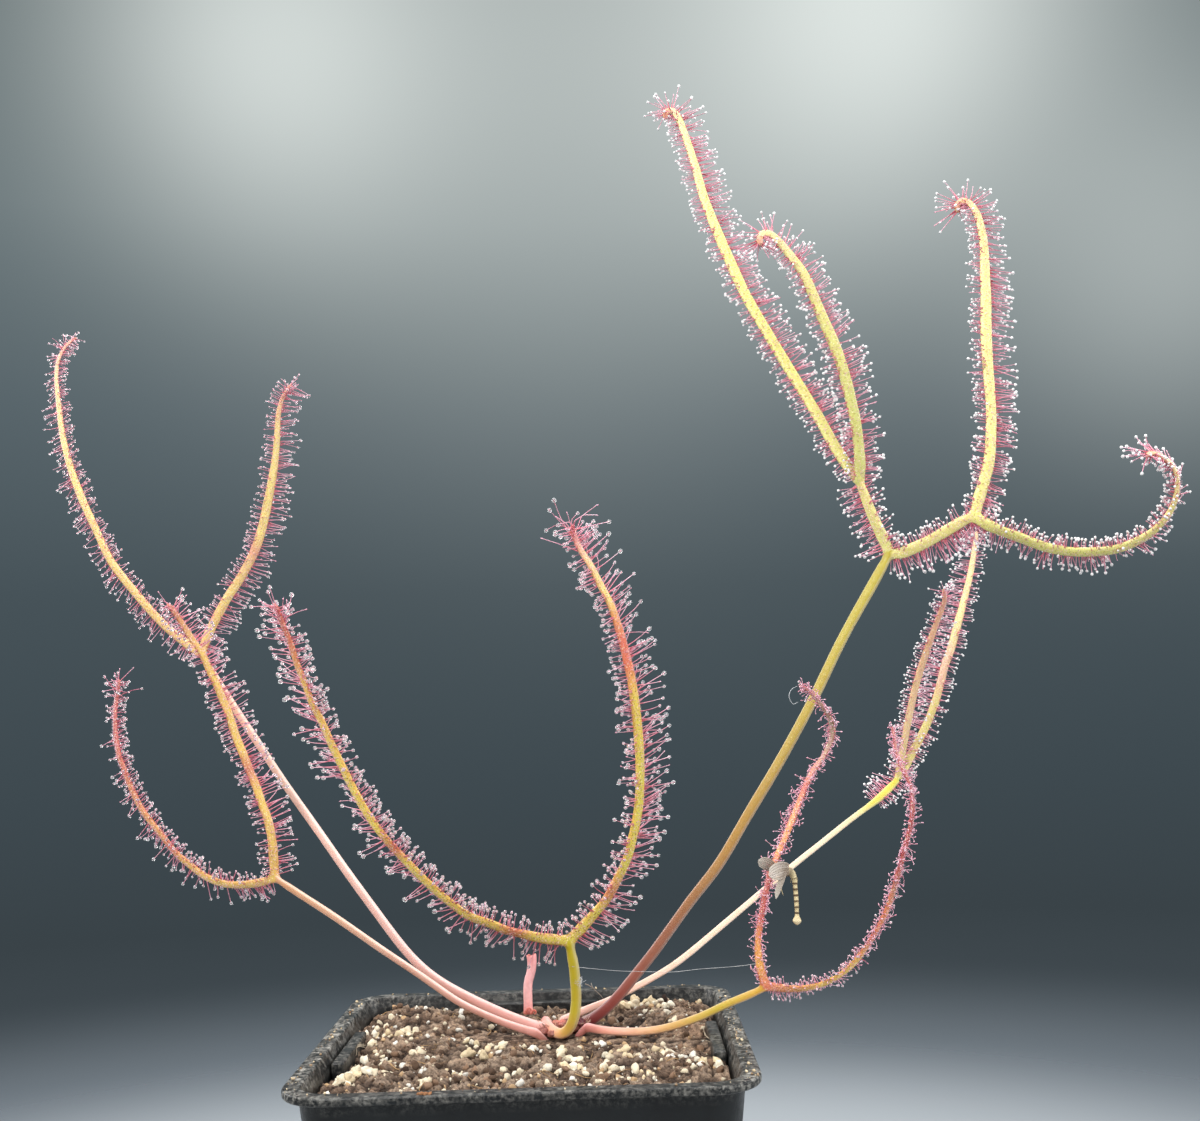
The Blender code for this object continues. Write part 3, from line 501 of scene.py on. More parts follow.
def body_width(z, inset=0.0):
    top = RIM - 2 * BODY_IN
    return BASE + (top - BASE) * z / POT_H - 2 * inset


def body_radius(z, inset=0.0):
    return max(1.0, BASE_R + (RIM_R - BODY_IN - BASE_R) * z / POT_H - inset)


# ---- materials
def add(nt, kind, ins=None, **props):
    n = nt.nodes.new(kind)
    for k, v in props.items():
        setattr(n, k, v)
    for k, v in (ins or {}).items():
        if isinstance(v, bpy.types.NodeSocket):
            nt.links.new(v, n.inputs[k])
        else:
            n.inputs[k].default_value = v
    return n


def principled(name, **plain):
    m = bpy.data.materials.new(name)
    m.use_nodes = True
    b = m.node_tree.nodes["Principled BSDF"]
    for k, v in plain.items():
        b.inputs[k.replace("_", " ")].default_value = v
    return m, m.node_tree, b


def ramp(nt, fac, stops, ease="LINEAR"):
    n = add(nt, "ShaderNodeValToRGB", {"Fac": fac})
    n.color_ramp.interpolation = ease
    els = n.color_ramp.elements
    while len(els) < len(stops):
        els.new(0.5)
    for e, (at, c) in zip(els, stops):
        e.position = at
        e.color = (*c, 1.0) if hasattr(c, "__len__") else (c, c, c, 1.0)
    return n.outputs["Color"]


def mix(nt, fac, a, b, blend="MIX"):
    n = nt.nodes.new("ShaderNodeMix")
    n.data_type, n.blend_type = "RGBA", blend
    for k, v in ((0, fac), (6, a), (7, b)):
        if isinstance(v, bpy.types.NodeSocket):
            nt.links.new(v, n.inputs[k])
        else:
            n.inputs[k].default_value = (*v, 1.0) if hasattr(v, "__len__") else v
    return n.outputs[2]


def grain(nt, size_mm, detail=3.0, rough=0.55, stretch=None):
    """Noise in the plant's own space, with features of size_mm."""
    co = add(nt, "ShaderNodeTexCoord").outputs["Object"]
    if stretch:
        co = add(nt, "ShaderNodeMapping", {"Vector": co, "Scale": stretch}).outputs["Vector"]
    return add(nt, "ShaderNodeTexNoise", {"Vector": co, "Scale": 1000.0 / size_mm, "Detail": detail, "Roughness": rough}).outputs["Fac"]


def bump(nt, b, height, mm, strength=1.0):
    n = add(nt, "ShaderNodeBump", {"Height": height, "Distance": mm * MM, "Strength": strength})
    nt.links.new(n.outputs["Normal"], b.inputs["Normal"])


def leaf_material(name, dash):
    """Leaf tissue; the tone's alpha is 1 on the arms, which carry pale dots (partly pale flecks, partly painted glints)
    and dark dashes (partly fibres, partly painted shadows of the hairs), and 0 on the smooth stalk.
    """
    m, nt, b = principled(name, Roughness=0.42, Subsurface_Weight=0.15, Subsurface_Scale=0.0010, Subsurface_Radius=(1.0, 0.55, 0.35), Specular_IOR_Level=0.45)
    layer = add(nt, "ShaderNodeVertexColor", layer_name="tone")
    tone, on_arm = layer.outputs["Color"], layer.outputs["Alpha"]
    blot = ramp(nt, grain(nt, 2.2), [(0.32, (0.90, 0.85, 0.78)), (0.5, (1, 1, 1)), (0.68, (1.0, 1.0, 1.0))])
    col = mix(nt, 0.5, tone, blot, "MULTIPLY")
    co = add(nt, "ShaderNodeTexCoord").outputs["Object"]
    cells = add(nt, "ShaderNodeTexVoronoi", {"Vector": co, "Scale": 1500.0}).outputs["Distance"]
    uv = add(nt, "ShaderNodeUVMap", uv_map=UV).outputs["UV"]
    fine = add(nt, "ShaderNodeMapping", {"Vector": uv, "Scale": (330.0, 70.0, 1.0)}).outputs["Vector"]
    lines = add(nt, "ShaderNodeTexNoise", {"Vector": fine, "Scale": 1.0, "Detail": 2.0}).outputs["Fac"]
    # dark dashes on the arms: partly fibres, partly painted shadows of the hairs
    dark = add(nt, "ShaderNodeMath", {0: ramp(nt, lines, [(0.57, 0.0), (0.65, 0.85)]), 1: on_arm}, operation="MULTIPLY").outputs[0]
    col = mix(nt, dark, col, tuple(srgb(*dash)))
    # pale dots on the arms: partly pale flecks, partly painted glints
    light = add(nt, "ShaderNodeMath", {0: ramp(nt, cells, [(0.16, 0.5), (0.34, 0.0)]), 1: on_arm}, operation="MULTIPLY").outputs[0]
    col = mix(nt, light, col, tuple(srgb(255, 246, 214)))
    nt.links.new(col, b.inputs["Base Color"])
    nt.links.new(ramp(nt, grain(nt, 0.9), [(0.3, 0.34), (0.7, 0.52)]), b.inputs["Roughness"])
    bump(nt, b, add(nt, "ShaderNodeMath", {0: grain(nt, 0.5), 1: lines}, operation="ADD").outputs[0], 0.035)
    return m


def tentacle_material():
    m, nt, b = principled("tentacle_tissue", Roughness=0.3, Specular_IOR_Level=0.6, Subsurface_Weight=0.25, Subsurface_Scale=0.0006, Subsurface_Radius=(1.0, 0.4, 0.4))
    uv = add(nt, "ShaderNodeSeparateXYZ", {0: add(nt, "ShaderNodeUVMap", uv_map=UV).outputs["UV"]})
    u, v = uv.outputs[0], uv.outputs[1]
    pale = ramp(nt, u, [(0.0, srgb(222, 96, 96)), (0.14, srgb(222, 104, 132)), (0.4, srgb(236, 168, 190)), (0.78, srgb(244, 204, 218)), (0.86, srgb(240, 190, 206)), (1.0, srgb(228, 160, 184))])
    red = ramp(nt, u, [(0.0, srgb(176, 36, 50)), (0.2, srgb(180, 34, 66)), (0.5, srgb(196, 66, 104)), (0.8, srgb(210, 110, 142)), (0.86, srgb(220, 140, 166)), (1.0, srgb(206, 120, 150))])
    col = mix(nt, v, pale, red)
    fleck = add(nt, "ShaderNodeTexNoise", {"Vector": add(nt, "ShaderNodeCombineXYZ", {0: u, 1: v}).outputs[0], "Scale": 26.0, "Detail": 2.0}).outputs["Fac"]
    col = mix(nt, ramp(nt, fleck, [(0.4, 0.0), (0.65, 0.35)]), col, tuple(srgb(246, 214, 218)))
    nt.links.new(col, b.inputs["Base Color"])
    return m


def dew_material(name, clear):
    """Mucilage: clear, with a share of milky scatter, and a soft white rim."""
    m, nt, b = principled(name, Base_Color=(1.0, 1.0, 1.0, 1.0), Roughness=0.04, IOR=1.36, Transmission_Weight=clear, Sheen_Weight=1.0, Sheen_Roughness=0.28,
                          Sheen_Tint=(1.0, 1.0, 1.0, 1.0), Specular_IOR_Level=0.8)
    return m


def soil_material():
    m, nt, b = principled("moist_peat", Specular_IOR_Level=0.25)
    tone = add(nt, "ShaderNodeVertexColor", layer_name="tone").outputs["Color"]
    big = ramp(nt, grain(nt, 4.0, 5.0, 0.65), [(0.34, (0.55, 0.50, 0.47)), (0.5, (1.0, 0.98, 0.96)), (0.66, (1.30, 1.24, 1.16))])
    col = mix(nt, 1.0, tone, big, "MULTIPLY")
    small = ramp(nt, grain(nt, 0.8, 6.0, 0.75), [(0.36, (0.25, 0.21, 0.19)), (0.5, (0.90, 0.90, 0.90)), (0.66, (1.55, 1.48, 1.38))])
    col = mix(nt, 0.9, col, small, "MULTIPLY")
    nt.links.new(col, b.inputs["Base Color"])
    nt.links.new(ramp(nt, grain(nt, 1.6), [(0.3, 0.98), (0.7, 0.72)]), b.inputs["Roughness"])
    bump(nt, b, grain(nt, 0.8, 9.0, 0.75), 1.0)
    return m


def grit_material(name, rough=0.85, depth=0.12):
    m, nt, b = principled(name, Roughness=rough, Specular_IOR_Level=0.3)
    tone = add(nt, "ShaderNodeVertexColor", layer_name="tone").outputs["Color"]
    blot = ramp(nt, grain(nt, 0.8, 5.0, 0.65), [(0.3, (0.68, 0.62, 0.52)), (0.5, (0.97, 0.96, 0.93)), (0.66, (1.08, 1.07, 1.04))])
    col = mix(nt, 0.9, tone, blot, "MULTIPLY")
    nt.links.new(col, b.inputs["Base Color"])
    bump(nt, b, grain(nt, 0.3, 4.0, 0.6), depth)
    return m


def pot_material():
    m, nt, b = principled("pot_black_plastic", Specular_IOR_Level=0.35)
    co = add(nt, "ShaderNodeTexCoord").outputs["Object"]
    z = add(nt, "ShaderNodeSeparateXYZ", {0: co}).outputs[2]
    # dry dust and lime on the lip, thinning out below it
    high = add(nt, "ShaderNodeMapRange", {"Value": z, "From Min": 0.0905, "From Max": 0.0947}).outputs[0]
    patches = ramp(nt, grain(nt, 5.0, 6.0, 0.72), [(0.34, 0.0), (0.62, 0.85)])
    streaks = ramp(nt, grain(nt, 1.1, 5.0, 0.7), [(0.44, 0.0), (0.64, 1.0)])
    dust = add(nt, "ShaderNodeMath", {0: add(nt, "ShaderNodeMath", {0: patches, 1: streaks}, operation="MULTIPLY").outputs[0], 1: high}, operation="MULTIPLY").outputs[0]
    specks = add(nt, "ShaderNodeTexVoronoi", {"Vector": co, "Scale": 260.0})
    spots = ramp(nt, specks.outputs["Distance"], [(0.03, 0.85), (0.075, 0.0)])
    rare = ramp(nt, add(nt, "ShaderNodeSeparateColor", {0: specks.outputs["Color"]}).outputs[0], [(0.80, 0.0), (0.84, 1.0)])
    spots = add(nt, "ShaderNodeMath", {0: spots, 1: rare}, operation="MULTIPLY").outputs[0]
    side = add(nt, "ShaderNodeMath", {0: add(nt, "ShaderNodeSeparateXYZ", {0: co}).outputs[0]}, operation="ABSOLUTE").outputs[0]
    side = add(nt, "ShaderNodeMapRange", {"Value": side, "From Min": 0.034, "From Max": 0.042, "To Min": 0.45, "To Max": 1.0}).outputs[0]
    dust = add(nt, "ShaderNodeMath", {0: dust, 1: side}, operation="MULTIPLY").outputs[0]
    base = ramp(nt, grain(nt, 9.0, 4.0), [(0.35, srgb(9, 11, 13)), (0.65, srgb(16, 20, 22))])
    col = mix(nt, dust, base, tuple(srgb(186, 182, 174)))
    col = mix(nt, spots, col, tuple(srgb(178, 174, 166)))
    nt.links.new(col, b.inputs["Base Color"])
    scuff = ramp(nt, grain(nt, 3.0, 6.0, 0.7), [(0.35, 0.30), (0.7, 0.52)])
    nt.links.new(mix(nt, dust, scuff, (0.8, 0.8, 0.8)), b.inputs["Roughness"])
    bump(nt, b, grain(nt, 0.6, 5.0, 0.6), 0.05)
    return m


# ---- camera and lights
def build_view():
    cam = bpy.data.objects.new("camera", bpy.data.cameras.new("camera"))
    cam.data.lens, cam.data.sensor_width, cam.data.sensor_fit = 42.0, 36.0, "HORIZONTAL"
    cam.data.clip_start, cam.data.clip_end = 0.01, 20.0
    turn = Matrix((RIGHT, UP, -AHEAD)).transposed().to_4x4()
    turn.translation = (EYE + Vector((0, 0, POT_H))) * MM
    cam.matrix_world = turn
    bpy.context.scene.collection.objects.link(cam)
    bpy.context.scene.camera = cam

    def softbox(name, at, size, power, colour=(1, 1, 1), aim=(0.0, 0.02, 0.17)):
        lamp = bpy.data.lights.new(name, "AREA")
        lamp.shape, lamp.size, lamp.energy, lamp.color = "SQUARE", size, power, colour
        obj = bpy.data.objects.new(name, lamp)
        obj.location = at
        obj.rotation_mode = "QUATERNION"
        obj.rotation_quaternion = (Vector(at) - Vector(aim)).to_track_quat("Z", "Y")
        obj.visible_camera = False
        bpy.context.scene.collection.objects.link(obj)

    softbox("key", (-0.35, -0.62, 0.72), 0.5, 8.0, (1.0, 0.985, 0.96))
    softbox("fill", (0.62, -0.55, 0.36), 0.5, 3.0, (0.96, 0.98, 1.0))
    softbox("left_rim", (-0.72, 0.34, 0.46), 0.45, 3.2)
    softbox("right_rim", (0.78, 0.30, 0.48), 0.45, 3.2)
    softbox("top", (0.0, 0.10, 1.0), 0.7, 6.0)


def build_world():
    world = bpy.data.worlds.new("studio")
    bpy.context.scene.world = world
    world.use_nodes = True
    nt = world.node_tree
    nt.nodes.clear()
    way = add(nt, "ShaderNodeTexCoord").outputs["Generated"]
    z = add(nt, "ShaderNodeSeparateXYZ", {0: way}).outputs[2]
    height = add(nt, "ShaderNodeMapRange", {"Value": z, "From Min": -0.4, "From Max": 1.0}).outputs[0]
    col = ramp(nt, height, [(0.0, srgb(96, 104, 110)), (0.10, srgb(72, 80, 86)), (0.18, srgb(58, 67, 72)), (0.24, srgb(62, 73, 79)), (0.34, srgb(70, 82, 88)), (0.43, srgb(86, 99, 105)), (0.52, srgb(102, 115, 119)),
                            (0.62, srgb(92, 105, 108)), (0.8, srgb(160, 168, 168)), (1.0, srgb(190, 196, 196))], "LINEAR")
    for (u, v), spread, much in (((280, 45), 0.0075, 0.80), ((870, 0), 0.010, 0.98), ((570, 50), 0.024, 0.46), ((1180, 250), 0.007, 0.40)):
        to = ray_at(u, v).normalized()
        near = add(nt, "ShaderNodeVectorMath", {0: way, 1: tuple(to)}, operation="DOT_PRODUCT").outputs["Value"]
        off = add(nt, "ShaderNodeMath", {0: near, 1: 1.0}, operation="SUBTRACT").outputs[0]
        glow = add(nt, "ShaderNodeMath", {0: add(nt, "ShaderNodeMath", {0: off, 1: spread}, operation="DIVIDE").outputs[0]}, operation="EXPONENT").outputs[0]
        glow = add(nt, "ShaderNodeMath", {0: glow, 1: much}, operation="MULTIPLY").outputs[0]
        col = mix(nt, glow, col, tuple(srgb(222, 229, 226)))
    # pale panels stand round the sides, out of the front view, and light the rims of the drops
    ahead = add(nt, "ShaderNodeVectorMath", {0: way, 1: tuple(AHEAD)}, operation="DOT_PRODUCT").outputs["Value"]
    round_ = add(nt, "ShaderNodeMapRange", {"Value": ahead, "From Min": 0.86, "From Max": 0.66}, interpolation_type="SMOOTHSTEP").outputs[0]
    above = add(nt, "ShaderNodeMapRange", {"Value": z, "From Min": -0.25, "From Max": 0.15}, interpolation_type="SMOOTHSTEP").outputs[0]
    panel = add(nt, "ShaderNodeMath", {0: round_, 1: above}, operation="MULTIPLY").outputs[0]
    col = mix(nt, add(nt, "ShaderNodeMath", {0: panel, 1: 0.88}, operation="MULTIPLY").outputs[0], col, tuple(srgb(206, 210, 210)))
    back = add(nt, "ShaderNodeBackground", {"Color": col, "Strength": 1.0})
    out = add(nt, "ShaderNodeOutputWorld")
    nt.links.new(back.outputs[0], out.inputs[0])


def build_floor():
    rings = [np.stack([r * np.cos(a), r * np.sin(a), np.zeros(96)], 1) for r in (1, 120, 250, 500, 1000, 2600)
             for a in [np.linspace(0, 2 * np.pi, 96, endpoint=False)]]
    v, f, _, _ = loft(rings, first=True, last=False)
    f[1] = f[1][:, ::-1]
    me = mesh_of("floor", v, f, smooth=False)
    m, nt, b = principled("floor_pale", Roughness=0.6)
    co = add(nt, "ShaderNodeTexCoord").outputs["Object"]
    far = add(nt, "ShaderNodeVectorMath", {0: co}, operation="LENGTH").outputs["Value"]
    part = add(nt, "ShaderNodeMapRange", {"Value": far, "From Min": 0.0, "From Max": 1.0}).outputs[0]
    col = ramp(nt, part, [(0.0, srgb(166, 168, 170)), (0.10, srgb(164, 167, 170)), (0.26, srgb(148, 153, 158)), (0.42, srgb(98, 106, 114)), (1.0, srgb(80, 88, 94))], "EASE")
    nt.links.new(col, b.inputs["Base Color"])
    # the floor thins out into the backdrop
    clear = add(nt, "ShaderNodeBsdfTransparent")
    gone = add(nt, "ShaderNodeMapRange", {"Value": far, "From Min": 0.20, "From Max": 0.62}, interpolation_type="SMOOTHSTEP").outputs[0]
    both = add(nt, "ShaderNodeMixShader", {0: gone, 1: b.outputs[0], 2: clear.outputs[0]})
    nt.links.new(both.outputs[0], nt.nodes["Material Output"].inputs["Surface"])
    me.materials.append(m)
    obj = bpy.data.objects.new("floor", me)
    bpy.context.scene.collection.objects.link(obj)


# ---- the pot
def build_pot():
    lip_z = POT_H - LIP_T
    edge = 0.5
    rings = []

    def ring(width, radius, z):
        rings.append(rounded_square(width, radius, z, 10, 10))

    def round_edge(width, radius, z, dw, dz, steps=4):
        """A quarter turn from the current ring, dw wider and dz higher at its end."""
        for k in range(steps + 1):
            a = math.pi / 2 * k / steps
            if dw * dz > 0:      # outwards then up, or inwards then down
                x, y = math.sin(a), 1 - math.cos(a)
            else:
                x, y = 1 - math.cos(a), math.sin(a)
            ring(width + 2 * dw * x, radius + dw * x, z + dz * y)

    ring(body_width(0, 2.2), body_radius(0, 2.2), 0.0)
    for k in range(5):
        a = math.pi / 2 * k / 4
        ring(body_width(0, 1.0 - math.sin(a)), body_radius(0, 1.0 - math.sin(a)), 1.0 - math.cos(a))
    for k in range(1, 20):
        z = 1.0 + (lip_z - 1.0) * k / 20
        ring(body_width(z), body_radius(z), z)
    ring(body_width(lip_z), body_radius(lip_z), lip_z - 0.25)
    ring(body_width(lip_z) + 0.5, body_radius(lip_z) + 0.25, lip_z)
    ring(RIM - 2 * edge, RIM_R - edge, lip_z)
    for k in range(1, 5):
        a = math.pi / 2 * k / 4
        ring(RIM - 2 * edge * (1 - math.sin(a)), RIM_R - edge * (1 - math.sin(a)), lip_z + edge * (1 - math.cos(a)))
    for k in range(5):
        a = math.pi / 2 * k / 4
        ring(RIM - 2 * edge * (1 - math.cos(a)), RIM_R - edge * (1 - math.cos(a)), POT_H - edge * (1 - math.sin(a)))
    ring(RIM - LIP_W, RIM_R - LIP_W / 2, POT_H)
    for k in range(4):
        a = math.pi / 2 * k / 3
        ring(RIM - 2 * LIP_W + 0.8 * (1 - math.sin(a)), RIM_R - LIP_W + 0.4 * (1 - math.sin(a)), POT_H - 0.4 * (1 - math.cos(a)))
    ring(body_width(lip_z - 1, WALL), body_radius(lip_z, WALL), lip_z - 1)
    for k in range(1, 12):
        z = lip_z - 1 + (FLOOR - lip_z + 1) * k / 12
        ring(body_width(z, WALL), body_radius(z, WALL), z)
    ring(body_width(FLOOR, WALL + 0.6), body_radius(FLOOR, WALL + 0.6), FLOOR)
    body = loft(rings)
    pot = mesh_of("pot_body", body[0], body[1])
    obj = bpy.data.objects.new("pot_work", pot)
    bpy.context.scene.collection.objects.link(obj)
    tools = []
    for sx, sy in ((1, 1), (-1, 1), (-1, -1), (1, -1)):
        bm = bmesh.new()
        bmesh.ops.create_cone(bm, cap_ends=True, segments=40, radius1=HOLE_R * MM, radius2=HOLE_R * MM, depth=12 * MM,
                              matrix=Matrix.Translation((sx * HOLE_AT * MM, sy * HOLE_AT * MM, 0)))
        me = bpy.data.meshes.new("hole")
        bm.to_mesh(me)
        bm.free()
        tools.append((me, "DIFFERENCE"))
    for k in range(4):
        bm = bmesh.new()
        top = POT_H - LUG_TOP
        bmesh.ops.create_cube(bm, size=1.0)
        lo = Vector((-LUG_L / 2, -RIM / 2 + LUG_IN, top - LUG_H))
        hi = Vector((LUG_L / 2, -RIM / 2 + LUG_IN + LUG_T, top))
        for v in bm.verts:
            v.co = Vector([(lo[i] if v.co[i] < 0 else hi[i]) * MM for i in range(3)])
        bmesh.ops.bevel(bm, geom=bm.edges[:], offset=0.45 * MM, segments=3, affect="EDGES", profile=0.5)
        bmesh.ops.rotate(bm, verts=bm.verts, cent=(0, 0, 0), matrix=Matrix.Rotation(k * math.pi / 2, 3, "Z"))
        me = bpy.data.meshes.new("lug")
        bm.to_mesh(me)
        bm.free()
        tools.append((me, "UNION"))
    pot = combined(obj, tools)
    pot.shade_smooth()
    pot.set_sharp_from_angle(angle=math.radians(34))
    place("pot_shell", pot, pot_material(), "pot_plastic", "pot")


def combined(obj, tools):
    """The mesh of obj after Boolean steps with (mesh, operation) tools; all the working objects are removed."""
    helpers = []
    for k, (me, operation) in enumerate(tools):
        other = bpy.data.objects.new("work_tool", me)
        bpy.context.scene.collection.objects.link(other)
        mod = obj.modifiers.new(f"step_{k}", "BOOLEAN")
        mod.operation, mod.solver, mod.object = operation, "EXACT", other
        helpers.append(other)
    graph = bpy.context.evaluated_depsgraph_get()
    out = bpy.data.meshes.new_from_object(obj.evaluated_get(graph))
    for o in [obj] + helpers:
        old = o.data
        bpy.data.objects.remove(o, do_unlink=True)
        bpy.data.meshes.remove(old)
    return out


# ---- the soil
def bed_near(x, y):
    """0 away from the stalks' beds, 1 in them."""
    k = np.zeros(len(x))
    for (ax, ay), (bx, by) in STALK_BEDS:
        t = np.clip(((x - ax) * (bx - ax) + (y - ay) * (by - ay)) / ((bx - ax) ** 2 + (by - ay) ** 2), 0, 1)
        d = np.hypot(x - ax - t * (bx - ax), y - ay - t * (by - ay))
        k = np.maximum(k, np.clip((8.0 - d) / 3.0, 0, 1))
    return k


def soil_base(x, y):
    z = np.full(len(x), SOIL_LEVEL)
    for cx, cy, h, r in MOUNDS:
        z += h * np.exp(-((x - cx) ** 2 + (y - cy) ** 2) / (r * r))
    z += 0.25 * np.sin(x * 0.61 + 1.3) * np.sin(y * 0.53 + 0.4) + 0.15 * np.sin(x * 1.3 - y * 0.9)
    k = bed_near(x, y)
    return z * (1 - k) + np.minimum(z, SOIL_LEVEL - 0.3) * k


def soil_top(x, y):
    """Height above the rim with clumps, crumbs and crevices, and a value for painted shade and light from 0, deep, to
    1, high: crevices get painted shade and crumb tops get painted light.
    """
    xy = np.stack([x, y], 1)
    p3 = np.stack([x, y, np.zeros(len(x))], 1)
    warp = np.stack([noise(p3, 3.2, 5), noise(p3, 3.2, 6)], 1) * 1.1 + np.stack([noise(p3, 1.1, 7), noise(p3, 1.1, 8)], 1) * 0.35
    a1, a2, own_a = crumbs(xy + warp, 5.2, 11)
    b1, b2, own_b = crumbs(xy + warp * 0.8, 2.3, 12)
    c1, c2, own_c = crumbs(xy + warp * 0.4, 1.05, 13)
    big = np.clip((a2 - a1) * 2.2, 0, 1) ** 0.6 * (0.5 + 1.0 * own_a)
    mid = np.clip((b2 - b1) * 2.4, 0, 1) ** 0.6 * (0.3 + own_b)
    low = np.clip((c2 - c1) * 2.4, 0, 1) ** 0.7 * (0.2 + own_c)
    rough = 0.55 * noise(p3, 1.7, 21) + 0.3 * noise(p3, 0.8, 22)
    detail = 0.85 * (big - 0.75) + 0.75 * (mid - 0.5) + 0.55 * (low - 0.4) + 0.90 * rough
    quiet = 1 - 0.72 * bed_near(x, y)
    # the value for painted shade in the crevices and painted light on the crumb tops
    painted_relief_shade = np.clip(0.56 + 0.62 * detail, 0, 1)
    # the mix stands higher against the back and side walls
    banks = np.zeros(len(x))
    for cx, cy, h, r in BANKS:
        banks = np.maximum(banks, h * np.exp(-((x - cx) ** 2 + (y - cy) ** 2) / (r * r)))
    return soil_base(x, y) + banks * (1 - bed_near(x, y)) + detail * quiet * 0.9 - 0.25 * (1 - quiet), painted_relief_shade


def build_soil():
    inset = WALL + 0.05
    level = POT_H - 5.5
    half, corner = body_width(level, inset) / 2, body_radius(level, inset)
    n = 210
    g = np.linspace(-half, half, n)
    x, y = np.meshgrid(g, g, indexing="ij")
    x, y = x.ravel(), y.ravel()
    # corners are drawn in to the rounded outline
    cx, cy = np.abs(x) - (half - corner), np.abs(y) - (half - corner)
    d = np.hypot(np.maximum(cx, 0), np.maximum(cy, 0))
    out = (cx > 0) & (cy > 0) & (d > corner)
    k = np.where(out, corner / np.maximum(d, 1e-9), 1.0)
    px = np.where(out, np.sign(x) * (half - corner + cx * k), x)
    py = np.where(out, np.sign(y) * (half - corner + cy * k), y)
    z, painted_relief_shade = soil_top(px, py)
    rim = out | (np.abs(x) >= half - 1e-6) | (np.abs(y) >= half - 1e-6)
    near = np.clip((np.maximum(np.abs(px), np.abs(py)) - (half - 3.0)) / 3.0, 0, 1)
    z = np.minimum(z, z * (1 - near) + np.minimum(z, -2.3) * near)
    z = np.where(rim, -10.0, z)
    i, j = np.meshgrid(np.arange(n - 1), np.arange(n - 1), indexing="ij")
    quads = np.stack([i * n + j, (i + 1) * n + j, (i + 1) * n + j + 1, i * n + j + 1], -1).reshape(-1, 4)
    quads = quads[~out[quads].all(1)]
    p3 = np.stack([px, py, z], 1)
    # painted shade and light: the dark tone goes into the crevices and the light tone onto the crumb tops
    dark, mid, light = srgb(26, 20, 17), srgb(106, 88, 76), srgb(172, 152, 134)
    c = painted_relief_shade[:, None]
    tone = np.where(c < 0.5, dark + (mid - dark) * (c / 0.5) ** 1.3, mid + (light - mid) * ((c - 0.5) / 0.5))
    brown = np.clip(noise(p3, 7.0, 31) * 0.9 + 0.1, 0, 1)[:, None]
    tone = tone * (1 - 0.5 * brown) + tone * np.array([1.08, 0.84, 0.70]) * 0.5 * brown
    top = (p3 + np.array([0, 0, POT_H]), [quads], None, tone)
    rings = [rounded_square(body_width(zz, WALL + 0.2), body_radius(zz, WALL + 0.2), zz, 6, 4) for zz in (FLOOR + 0.15, 30, 60, POT_H - 8.5)]
    body = loft(rings)
    plug = (body[0], body[1], None, np.tile(dark * 1.4, (len(body[0]), 1)))
    v, f, _, t = joined([top, plug])
    place("soil_mix", mesh_of("soil_mix", v, f, tones=t), soil_material(), "peat", "soil")


def lumps(rng, centres, sizes, tones, level, flat=(0.65, 1.0), rough=0.16):
    """Irregular grains: deformed balls at centres, sizes are their radii."""
    v0, f0 = BALLS[level]
    n = len(centres)
    if not n:
        return []
    d = np.tile(v0, (n, 1, 1))
    shape = np.ones((n, len(v0)))
    for freq, amp in ((1.7, rough), (3.1, rough * 0.7), (5.3, rough * 0.4)):
        axis = unit(rng.normal(size=(n, 3)))
        phase = rng.uniform(0, 6.28, n)
        shape += amp * np.sin(freq * np.einsum("nij,nj->ni", d, axis) * 2 + phase[:, None])
    for _ in range(5):        # flat facets
        axis = unit(rng.normal(size=(n, 3)))
        cut = rng.uniform(0.62, 0.95, n)[:, None]
        along = np.einsum("nij,nj->ni", d, axis)
        shape = np.where(along * shape > cut, cut / np.maximum(along, 0.05), shape)
    p = d * shape[:, :, None] * rng.uniform(flat[0], 1.15, (n, 1, 3))
    q = unit(rng.normal(size=(n, 4)))
    w, x, y, z = q.T
    R = np.stack([1 - 2 * (y * y + z * z), 2 * (x * y - w * z), 2 * (x * z + w * y),
                  2 * (x * y + w * z), 1 - 2 * (x * x + z * z), 2 * (y * z - w * x),
                  2 * (x * z - w * y), 2 * (y * z + w * x), 1 - 2 * (x * x + y * y)], 1).reshape(n, 3, 3)
    p = np.einsum("nij,nkj->nki", R, p) * sizes[:, None, None] + centres[:, None]
    faces = (f0[None] + (np.arange(n) * len(v0))[:, None, None]).reshape(-1, 3)
    return [(p.reshape(-1, 3), [faces], None, np.repeat(tones, len(v0), axis=0))]


